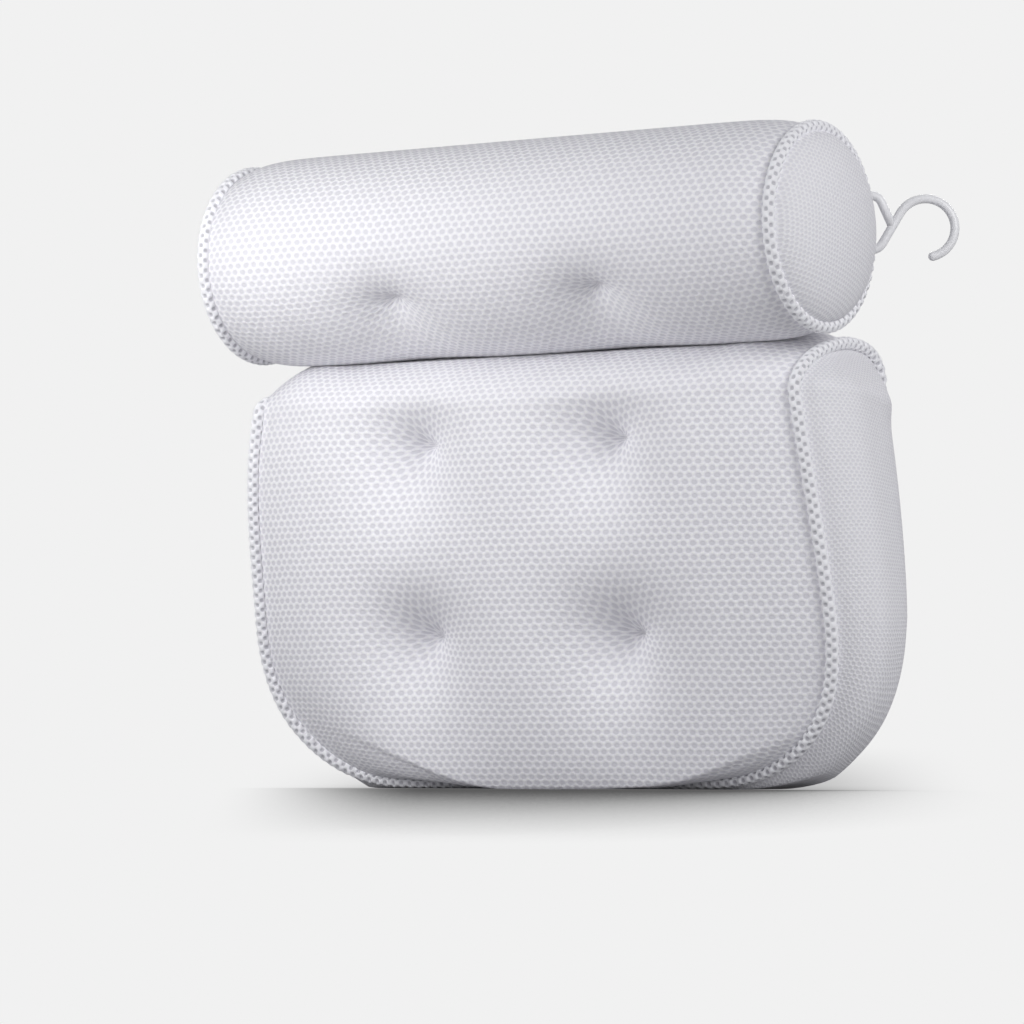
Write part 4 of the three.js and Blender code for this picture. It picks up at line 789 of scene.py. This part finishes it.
BACK = np.array([0.0, 1.0, 0.0])
BOLSTER_BACK = np.array([0.0, np.cos(BOLSTER_TIP), np.sin(BOLSTER_TIP)])
PAD_SEAT_COLUMNS = (62.97, 59.65)
PAD_SEATS = [(hand * x, height) for hand in (-1, 1) for x, height in zip(PAD_SEAT_COLUMNS, PAD_TUFT_HEIGHTS)]
tie_places = []
for i, (x, height) in enumerate(PAD_SEATS):
    seat = pad_seam_depth(PAD_BACK, height) + PAD_BACK["crown"] - PAD_CUP_SEAT_DEPTH
    tuft = pad_seam_depth(PAD_FRONT, height) - PAD_FRONT["crown"] + PAD_TUFT_DEPTH
    tie_places.append((f"pad_{{}}_{i + 1}", "back_pad", np.array([x, 0.0, height]), BACK, tuft, seat))
for i, hand in enumerate((-1, 1)):
    seat = BOLSTER_FULL - PAD_CUP_SEAT_DEPTH
    tuft = BOLSTER_TUFT_DEPTH - BOLSTER_FULL
    origin = tipped(np.array([hand * BOLSTER_TUFT, 0.0, 0.0]))
    tie_places.append((f"headrest_{{}}_{i + 1}", "headrest", origin, BOLSTER_BACK, tuft, seat))

for place_name, body, origin, axis, tuft, seat in tie_places:
    tie = mesh_piece(place_name.format("tuft_thread"), [thread_white],
                     [turned(tie_profile(tuft, seat), origin, axis, TIE_SIDES)])
    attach(tie, body)
    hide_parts(place_name.format("tuft_tie"))

# Eyelet patches
# A disc of soft white vinyl behind each tuft, heat-pressed into a hollow button whose roof has a hole
# for the neck of a suction cup. It is sewn to the cushion's back over the flat knot.

PATCH_RADIUS = 17.0
PATCH_THICKNESS = 1.6
POCKET_RADIUS = 8.6
POCKET_WALL = 1.5
ROOF_BOTTOM = 4.65
ROOF_TOP = 6.15
NECK_HOLE = 3.3
MOULDED_ROUND = 0.7
patch_top = SEAT_LIFT + PATCH_THICKNESS
pocket_outside = POCKET_RADIUS + POCKET_WALL
patch_profile = rounded_path([
    (POCKET_RADIUS, SEAT_LIFT), (PATCH_RADIUS, SEAT_LIFT), (PATCH_RADIUS, patch_top),
    (pocket_outside, patch_top), (pocket_outside, ROOF_TOP), (NECK_HOLE, ROOF_TOP),
    (NECK_HOLE, ROOF_BOTTOM), (POCKET_RADIUS, ROOF_BOTTOM), (POCKET_RADIUS, SEAT_LIFT)], MOULDED_ROUND)

# Soft vinyl: smooth, faintly translucent white with a satin shine.
vinyl = new_material("soft_white_vinyl", base_color=linear("#eeeef2"), roughness=0.42,
                     subsurface_weight=0.1, subsurface_radius=(0.002, 0.002, 0.002))[0]

for place_name, body, origin, axis, _, seat in tie_places:
    patch = mesh_piece(place_name.format("eyelet_patch"), [vinyl],
                       [turned(patch_profile, origin + seat * axis, axis)])
    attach(patch, body)
    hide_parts(place_name.format("cup_patch"))

# Suction cups
# Clear PVC cups pushed through the eyelets: a mushroom head inside the button, a neck, a boss and a
# dish that flares to a thin flat rim. Each turns freely in its eyelet.

CUP_RADIUS = 22.0
CUP_REACH = 18.0
CUP_RIM = 2.4
CUP_DISH = 3.6
CUP_DISH_STEPS = 16
CUP_FLARE_START = 0.04
CUP_FLARE_CURVE = 1.3
CUP_FLARE_STEPS = 18
HEAD_RADIUS = 7.6
HEAD_BOTTOM = 2.05
HEAD_TOP = 4.15
NECK_RADIUS = 2.8
BOSS_RADIUS = 5.5
BOSS_BOTTOM = 6.65
BOSS_TOP = 8.65


def cup_profile():
    """Head, neck and boss with rounded corners, then a flare that rises as a power of its radius and a
    shallow parabolic dish."""
    stem = rounded_path([(0, HEAD_BOTTOM), (HEAD_RADIUS, HEAD_BOTTOM), (HEAD_RADIUS, HEAD_TOP),
                         (NECK_RADIUS, HEAD_TOP), (NECK_RADIUS, BOSS_BOTTOM), (BOSS_RADIUS, BOSS_BOTTOM),
                         (BOSS_RADIUS, BOSS_TOP)], MOULDED_ROUND)
    share = np.linspace(CUP_FLARE_START, 1, CUP_FLARE_STEPS)
    flare = np.stack([BOSS_RADIUS + (CUP_RADIUS - BOSS_RADIUS) * share,
                      BOSS_TOP + (CUP_REACH - BOSS_TOP) * share ** CUP_FLARE_CURVE], -1)
    share = np.linspace(1, 0, CUP_DISH_STEPS)
    dish = np.stack([(CUP_RADIUS - CUP_RIM) * share, CUP_REACH - CUP_DISH * (1 - share ** 2)], -1)
    return np.concatenate([stem, flare, dish])


# Clear PVC: see-through with a faint cool tint and a soft gloss.
clear_pvc = new_material("clear_pvc", base_color=linear("#eef3f5"), roughness=0.08, ior=1.5,
                         transmission_weight=1.0)[0]

for place_name, _, origin, axis, _, seat in tie_places:
    node_name = place_name.format("suction_cup")
    cup = mesh_piece(place_name.format("pvc_cup"), [clear_pvc],
                     [turned(cup_profile(), origin + seat * axis, axis)])
    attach(cup, node_name)
    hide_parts(node_name)

# Fold strip
# A strip of the same mesh that hinges the bolster to the pad: sewn flat along the pad's top behind
# the bolster, creased, and sewn up the bolster's back. It is drawn bent at the crease.

STRIP_LENGTH = 230.0
STRIP_THICKNESS = 1.6
STRIP_LIFT = 0.5
STRIP_STATIONS = 93
STRIP_ROWS = 22
STRIP_PAD_TURN = 26
STRIP_BOLSTER_TURNS = (-59, -31)


def strip_shell():
    """A cloth of even thickness on a path up the pad's top and the bolster's back at each station along
    its length; the two faces meet in a line at both ends."""
    x = np.linspace(-STRIP_LENGTH / 2, STRIP_LENGTH / 2, STRIP_STATIONS)[None, :]
    rise = np.linspace(PAD_SHOULDER + STRIP_PAD_TURN, PAD_SHOULDER + 90, STRIP_ROWS)[:, None]
    on_pad = pressed_by_bolster(pad_panel(PAD_BACK, x / pad_half_width(np.array(PAD_SHOULDER)), rise))
    turn = np.radians(np.linspace(*STRIP_BOLSTER_TURNS, STRIP_ROWS))[:, None]
    radius = bolster_radius(x)
    on_bolster = tipped(np.stack(np.broadcast_arrays(x, radius * np.cos(turn), radius * np.sin(turn)), -1))
    path = np.concatenate([on_pad, on_bolster])
    normal = -grid_normals(path)
    inner = path + normal * STRIP_LIFT
    outer = path + normal * (STRIP_LIFT + STRIP_THICKNESS)
    loop = np.concatenate([outer, inner[::-1], outer[:1]])
    core = (outer + inner) / 2
    middle = np.concatenate([core, core[::-1], core[:1]])
    grid = np.concatenate([middle[:, :1], loop, middle[:, -1:]], 1)
    along = np.concatenate([x[:, :1], x, x[:, -1:]], 1)
    return grid, np.stack(np.broadcast_arrays(along, run_length(grid, 0)), -1)


strip = mesh_piece("fold_strip_cloth", [pad_cloth], [strip_shell()])
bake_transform(strip)
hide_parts("fold_strip_pad_leaf", "fold_strip_headrest_leaf")

# Drying hook
# A bent rod of white plastic: a closed loop that swings on the tab and a shank that runs into an open
# bow with a round tip. It stands upright behind the bolster's right end, turned 33 degrees outwards.

HOOK_BAR = np.array([160.3, 30.0, 292.5])
HOOK_HEADING = np.radians(33.0)
ROD_RADIUS = 2.35
ROD_SIDES = 28
ROD_TIP_STEPS = 10
LOOP_HALF = 14.2
LOOP_DEPTH = 9.0
LOOP_CORNER = 5.0
LOOP_CORNER_STEPS = 12
BOW_CENTRE = np.array([33.3, -2.8])
BOW_RADIUS = 15.2
BOW_END = np.radians(-76.0)
BOW_STEPS = 70
BRACE_SHARE = 0.64


def hook_line():
    """The rod's middle line in its own upright plane, forward and up: from the shank up the brace, round
    the loop, along the shank tangent to the bow, and round the bow."""
    low, high = np.array([LOOP_DEPTH, -LOOP_HALF]), np.array([LOOP_DEPTH, LOOP_HALF])
    reach = BOW_CENTRE - low
    shank = np.arctan2(reach[1], reach[0]) + np.arcsin(BOW_RADIUS / np.linalg.norm(reach))
    angle = np.linspace(shank + np.pi / 2, BOW_END, BOW_STEPS)
    bow = BOW_CENTRE + BOW_RADIUS * np.stack([np.cos(angle), np.sin(angle)], -1)
    brace = low + (bow[0] - low) * BRACE_SHARE
    loop = rounded_path([brace, high, (0, LOOP_HALF), (0, -LOOP_HALF), low, bow[0]], LOOP_CORNER,
                        LOOP_CORNER_STEPS)
    return np.concatenate([loop[:-1], bow])


def rod(line, radius):
    """A round rod on a line in an upright plane, closed flat at its start and with a round tip."""
    way = unit(np.gradient(line, axis=0))
    bend = np.stack([-way[:, 1], way[:, 0]], -1)
    tip = np.radians(np.linspace(0, 90, ROD_TIP_STEPS))[1:]
    centre = np.concatenate([line[:1], line, line[-1] + radius * np.sin(tip)[:, None] * way[-1]])
    bend = np.concatenate([bend[:1], bend, np.repeat(bend[-1:], len(tip), 0)])
    wide = radius * np.concatenate([[0.0], np.ones(len(line)), np.cos(tip)])[:, None]
    angle = np.linspace(0, 2 * np.pi, ROD_SIDES + 1)[None, :]
    flat = centre[:, None] + bend[:, None] * (wide * np.cos(angle))[..., None]
    across = wide * np.sin(angle)
    c, s = np.cos(HOOK_HEADING), np.sin(HOOK_HEADING)
    forward, upward = flat[..., 0], flat[..., 1]
    grid = np.stack([forward * c - across * s, forward * s + across * c, upward], -1) + HOOK_BAR
    return grid, np.stack(np.broadcast_arrays(radius * angle, run_length(centre, 0)[:, None]), -1)


# White polypropylene: smooth moulded plastic with a soft gloss.
hook_plastic = new_material("white_polypropylene", base_color=linear("#f2f2f4"), roughness=0.32)[0]

hook = mesh_piece("drying_hook_rod", [hook_plastic], [rod(hook_line(), ROD_RADIUS)])
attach(hook, "drying_hook")
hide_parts("drying_hook")

# Hook tab
# A short length of white webbing folded round the hook's bar, its two ends sewn flat on the back of
# the bolster.

TAB_WIDTH = 19.0
TAB_THICKNESS = 1.1
TAB_FOOT = 4.4
TAB_LEAF_GAP = 0.06
TAB_BAR_GAP = 0.45
TAB_LIFT = 0.9
TAB_CORNER = 2.0
TAB_EDGE = 0.3
TAB_BAR_STEPS = 40
TAB_SIDES = 30


def tab_shell():
    """Webbing of even thickness on a plan line from one foot out to the bar, round it and back to the
    other foot; towards the feet it follows the bolster's round back."""
    half = TAB_THICKNESS / 2 + TAB_LEAF_GAP
    ring = ROD_RADIUS + TAB_THICKNESS / 2 + TAB_BAR_GAP
    open_angle = np.arcsin(half / ring)
    angle = np.linspace(-np.pi / 2 - open_angle, -5 * np.pi / 2 + open_angle, TAB_BAR_STEPS)
    bar = np.stack([ring * np.cos(angle), ring * np.sin(angle)], -1)
    above = HOOK_BAR[2] - BOLSTER_CENTRE[2]
    behind = np.sqrt(bolster_radius(HOOK_BAR[0] - TAB_FOOT) ** 2 - above ** 2)
    surface = BOLSTER_CENTRE[1] + behind - HOOK_BAR[1] + TAB_LIFT
    left = rounded_path([(-TAB_FOOT, surface), (-half, surface), bar[0]], TAB_CORNER)
    right = rounded_path([bar[-1], (half, surface), (TAB_FOOT, surface)], TAB_CORNER)
    line = np.concatenate([left[:-1], bar, right[1:]])
    way = unit(np.gradient(line, axis=0))
    out = np.stack([-way[:, 1], way[:, 0]], -1)
    loop = np.concatenate([line + out * TAB_THICKNESS / 2, (line - out * TAB_THICKNESS / 2)[::-1]])
    loop = np.concatenate([loop, loop[:1]])
    middle = np.concatenate([line, line[::-1], line[:1]])
    height = np.linspace(-TAB_WIDTH / 2, TAB_WIDTH / 2, TAB_SIDES)
    plan = np.concatenate([middle[:, None], np.repeat(loop[:, None], TAB_SIDES, 1), middle[:, None]], 1)
    height = np.concatenate([[height[0] - TAB_EDGE], height, [height[-1] + TAB_EDGE]])[None, :]
    drop = np.sqrt(BOLSTER_FULL ** 2 - above ** 2) - np.sqrt(BOLSTER_FULL ** 2 - (above + height) ** 2)
    sewn = 1 - smooth_step(surface, -ring, plan[..., 1])
    grid = np.stack(np.broadcast_arrays(plan[..., 0], plan[..., 1] - drop * sewn, height), -1) + HOOK_BAR
    return grid, np.stack(np.broadcast_arrays(run_length(plan, 0), height), -1)


# Woven polyester webbing: white ribs across its length.
WEBBING_RIB_SCALE = 0.4
WEBBING_RIB_DEPTH = 0.0003
webbing, web_tree, web_shader = new_material("white_webbing", base_color=linear("#ecebf0"), roughness=0.8)
web_cloth = node(web_tree, "ShaderNodeUVMap", uv_map="cloth_mm")
web_rib = node(web_tree, "ShaderNodeTexWave", {"Vector": web_cloth.outputs["UV"], "Scale": WEBBING_RIB_SCALE,
                                               "Distortion": 0.3})
web_bump = node(web_tree, "ShaderNodeBump", {"Height": web_rib.outputs["Fac"], "Strength": 0.5,
                                             "Distance": WEBBING_RIB_DEPTH})
web_tree.links.new(web_bump.outputs["Normal"], web_shader.inputs["Normal"])

tab = mesh_piece("hook_tab_webbing", [webbing], [tab_shell()])
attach(tab, "headrest")
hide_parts("hook_tab")

# Studio
# A pale painted floor with a painted shadow round the pillow, flat under the pad, falling away gently
# in front and rising gently behind, a pale surround and soft lamps, with the camera low in front at the
# right.

BACKGROUND = "#f1f1f1"
FLOOR_PAINT = "#a4a4a6"
FLOOR_SLOPE = np.tan(np.radians(8.0))
FLOOR_FLAT_FRONT = -0.045
FLOOR_FLAT_BACK = 0.03
FLOOR_BEND = 0.02
FLOOR_RISE = 0.045
FLOOR_FALL = 0.25
FLOOR_REACH = 3.0
FLOOR_GAP = 0.0002
FLOOR_RINGS = 160
FLOOR_TURNS = 180
SHADOW_REACH = 0.2
SHADOW_LINE = np.radians(33.0)
SHADOW_MIDDLE = 0.013
SHADOW_FULL = 0.088
SHADOW_END = 0.204
SHADOW_DEPTH = 1.0
SHADOW_DEPTH_BEHIND = 0.5
SHADOW_BEHIND = (-0.02, 0.06)
SHADOW_OPENNESS = (1.0, 0.6)
SHADOW_DARKEST = 0.88

floor_ring = (np.linspace(0, 1, FLOOR_RINGS) ** 2 * FLOOR_REACH)[:, None]
floor_turn = np.linspace(0, 2 * np.pi, FLOOR_TURNS + 1)[None, :]
floor_x = floor_ring * np.cos(floor_turn)
floor_y = floor_ring * np.sin(floor_turn)
floor_front = np.hypot(np.maximum(FLOOR_FLAT_FRONT - floor_y, 0), FLOOR_BEND) - FLOOR_BEND
floor_back = np.hypot(np.maximum(floor_y - FLOOR_FLAT_BACK, 0), FLOOR_BEND) - FLOOR_BEND
floor_z = (FLOOR_RISE * np.tanh(FLOOR_SLOPE * floor_back / FLOOR_RISE)
           - FLOOR_FALL * np.tanh(FLOOR_SLOPE * floor_front / FLOOR_FALL))
floor_points = np.stack([floor_x, floor_y, floor_z - FLOOR_GAP], -1) / MILLIMETRE


def seen_by_lens(tree):
    """Socket that is 1 for rays of the camera, straight, mirrored or through clear plastic, and else 0."""
    path = node(tree, "ShaderNodeLightPath")
    seen = node(tree, "ShaderNodeMath", {0: path.outputs["Is Camera Ray"], 1: path.outputs["Is Glossy Ray"]},
                operation="MAXIMUM")
    seen = node(tree, "ShaderNodeMath", {0: seen.outputs[0], 1: path.outputs["Is Transmission Ray"]},
                operation="MAXIMUM")
    return seen.outputs[0]


# Matt pale paint: what the lens sees is an even pale glow with a painted shadow, darkened where the pillow is
# near.
floor_paint, floor_tree, floor_shader = new_material("pale_floor_paint", base_color=linear(FLOOR_PAINT),
                                                     roughness=0.9, specular_ior_level=0.0)
floor_place = node(floor_tree, "ShaderNodeTexCoord")
floor_place = node(floor_tree, "ShaderNodeSeparateXYZ", {"Vector": floor_place.outputs["Object"]})
floor_along = node(floor_tree, "ShaderNodeMath", {0: floor_place.outputs["X"], 1: np.cos(SHADOW_LINE),
                                                  2: -SHADOW_MIDDLE}, operation="MULTIPLY_ADD")
floor_along = node(floor_tree, "ShaderNodeMath", {0: floor_place.outputs["Y"], 1: np.sin(SHADOW_LINE),
                                                  2: floor_along.outputs[0]}, operation="MULTIPLY_ADD")
floor_along = node(floor_tree, "ShaderNodeMath", {0: floor_along.outputs[0]}, operation="ABSOLUTE")
floor_reach = node(floor_tree, "ShaderNodeMapRange", {
    "Value": floor_along.outputs[0], "From Min": SHADOW_FULL, "From Max": SHADOW_END,
    "To Min": 1.0, "To Max": 0.0}, interpolation_type="SMOOTHSTEP")
floor_depth = node(floor_tree, "ShaderNodeMapRange", {
    "Value": floor_place.outputs["Y"], "From Min": SHADOW_BEHIND[0], "From Max": SHADOW_BEHIND[1],
    "To Min": SHADOW_DEPTH, "To Max": SHADOW_DEPTH_BEHIND})
floor_depth = node(floor_tree, "ShaderNodeMath", {0: floor_reach.outputs[0], 1: floor_depth.outputs[0]},
                   operation="MULTIPLY")
# Painted shadow: the glow is darkened by how closed in the floor is by the pillow, limited by place along a
# line turned 33 degrees, and weaker behind.
floor_near = node(floor_tree, "ShaderNodeAmbientOcclusion", {"Distance": SHADOW_REACH}, samples=16)
floor_painted_shadow = node(floor_tree, "ShaderNodeMapRange", {
    "Value": floor_near.outputs["AO"], "From Min": SHADOW_OPENNESS[0], "From Max": SHADOW_OPENNESS[1],
    "To Min": 0.0, "To Max": SHADOW_DARKEST})
floor_painted_shadow = node(floor_tree, "ShaderNodeMath", {0: floor_painted_shadow.outputs[0], 1: floor_depth.outputs[0]},
                  operation="MULTIPLY")
floor_shadow_tone = node(floor_tree, "ShaderNodeMath", {0: 1.0, 1: floor_painted_shadow.outputs[0]}, operation="SUBTRACT")
floor_glow = node(floor_tree, "ShaderNodeEmission", {"Color": linear(BACKGROUND),
                                                     "Strength": floor_shadow_tone.outputs[0]})
floor_mix = node(floor_tree, "ShaderNodeMixShader", {0: seen_by_lens(floor_tree), 1: floor_shader.outputs[0],
                                                     2: floor_glow.outputs[0]})
floor_tree.links.new(floor_mix.outputs[0], floor_tree.nodes["Material Output"].inputs["Surface"])
floor = mesh_piece("studio_floor", [floor_paint], [(floor_points, floor_points[..., :2])])

SURROUND_STRENGTH = 0.2
SURROUND_COLOUR = "#f4f5ff"
world = bpy.data.worlds.new("studio_surround")
bpy.context.scene.world = world
world.use_nodes = True
world_tree = world.node_tree
world_soft = node(world_tree, "ShaderNodeBackground", {"Color": linear(SURROUND_COLOUR),
                                                       "Strength": SURROUND_STRENGTH})
world_pale = node(world_tree, "ShaderNodeBackground", {"Color": linear(BACKGROUND), "Strength": 1.0})
world_mix = node(world_tree, "ShaderNodeMixShader", {0: seen_by_lens(world_tree), 1: world_soft.outputs[0],
                                                     2: world_pale.outputs[0]})
world_tree.links.new(world_mix.outputs[0], world_tree.nodes["World Output"].inputs["Surface"])


def aim(obj, place, target):
    """Puts an object at a place with its -Z axis towards a target."""
    way = np.array(target) - np.array(place)
    obj.location = place
    pitch = np.arctan2(np.hypot(way[0], way[1]), -way[2])
    obj.rotation_euler = (pitch, 0, np.arctan2(way[1], way[0]) - np.pi / 2)


LAMP_TARGET = (0, 0, 0.18)
LAMPS = (
    ("soft_near_key", (-0.22, -0.52, 0.28), 0.3, 1.0),
    ("soft_small_key", (-0.2, -0.36, 0.3), 0.25, 0.25),
    ("soft_high_key", (-0.3, -0.6, 0.6), 0.4, 0.56),
    ("soft_front_fill", (0.82, -1.26, 0.12), 0.5, 1.4),
    ("soft_right_fill", (1.6, -0.5, 0.9), 1.0, 13.2),
    ("soft_low_fill", (1.3, -0.6, 0.3), 0.8, 1.2),
    ("soft_back_fill", (-0.4, 1.5, 0.9), 1.0, 6.0),
)
for light_name, place, size, power in LAMPS:
    lamp = bpy.data.lights.new(light_name, "AREA")
    lamp.shape = "DISK"
    lamp.size = size
    lamp.energy = power
    lamp_object = bpy.data.objects.new(light_name, lamp)
    lamp_object.visible_camera = False
    bpy.context.collection.objects.link(lamp_object)
    aim(lamp_object, place, LAMP_TARGET)

CAMERA_AZIMUTH = np.radians(33.29)
CAMERA_ELEVATION = np.radians(-3.74)
CAMERA_DISTANCE = 2.5
CAMERA_TARGET = np.array([0.0, -0.006, 0.18])
SENSOR_WIDTH = 36.0
PICTURE_PIXELS = 1024
FOCAL_PIXELS = 4735.2
SHIFT_PIXELS = (-51.9, -65.0)
camera_data = bpy.data.cameras.new("studio_camera")
camera_data.sensor_width = SENSOR_WIDTH
camera_data.lens = SENSOR_WIDTH * FOCAL_PIXELS / PICTURE_PIXELS
camera_data.shift_x = SHIFT_PIXELS[0] / PICTURE_PIXELS
camera_data.shift_y = SHIFT_PIXELS[1] / PICTURE_PIXELS
camera = bpy.data.objects.new("studio_camera", camera_data)
bpy.context.collection.objects.link(camera)
camera_way = np.array([np.sin(CAMERA_AZIMUTH) * np.cos(CAMERA_ELEVATION),
                       -np.cos(CAMERA_AZIMUTH) * np.cos(CAMERA_ELEVATION), np.sin(CAMERA_ELEVATION)])
aim(camera, CAMERA_TARGET + CAMERA_DISTANCE * camera_way, CAMERA_TARGET)
bpy.context.scene.camera = camera
bpy.context.scene.view_settings.view_transform = "Standard"
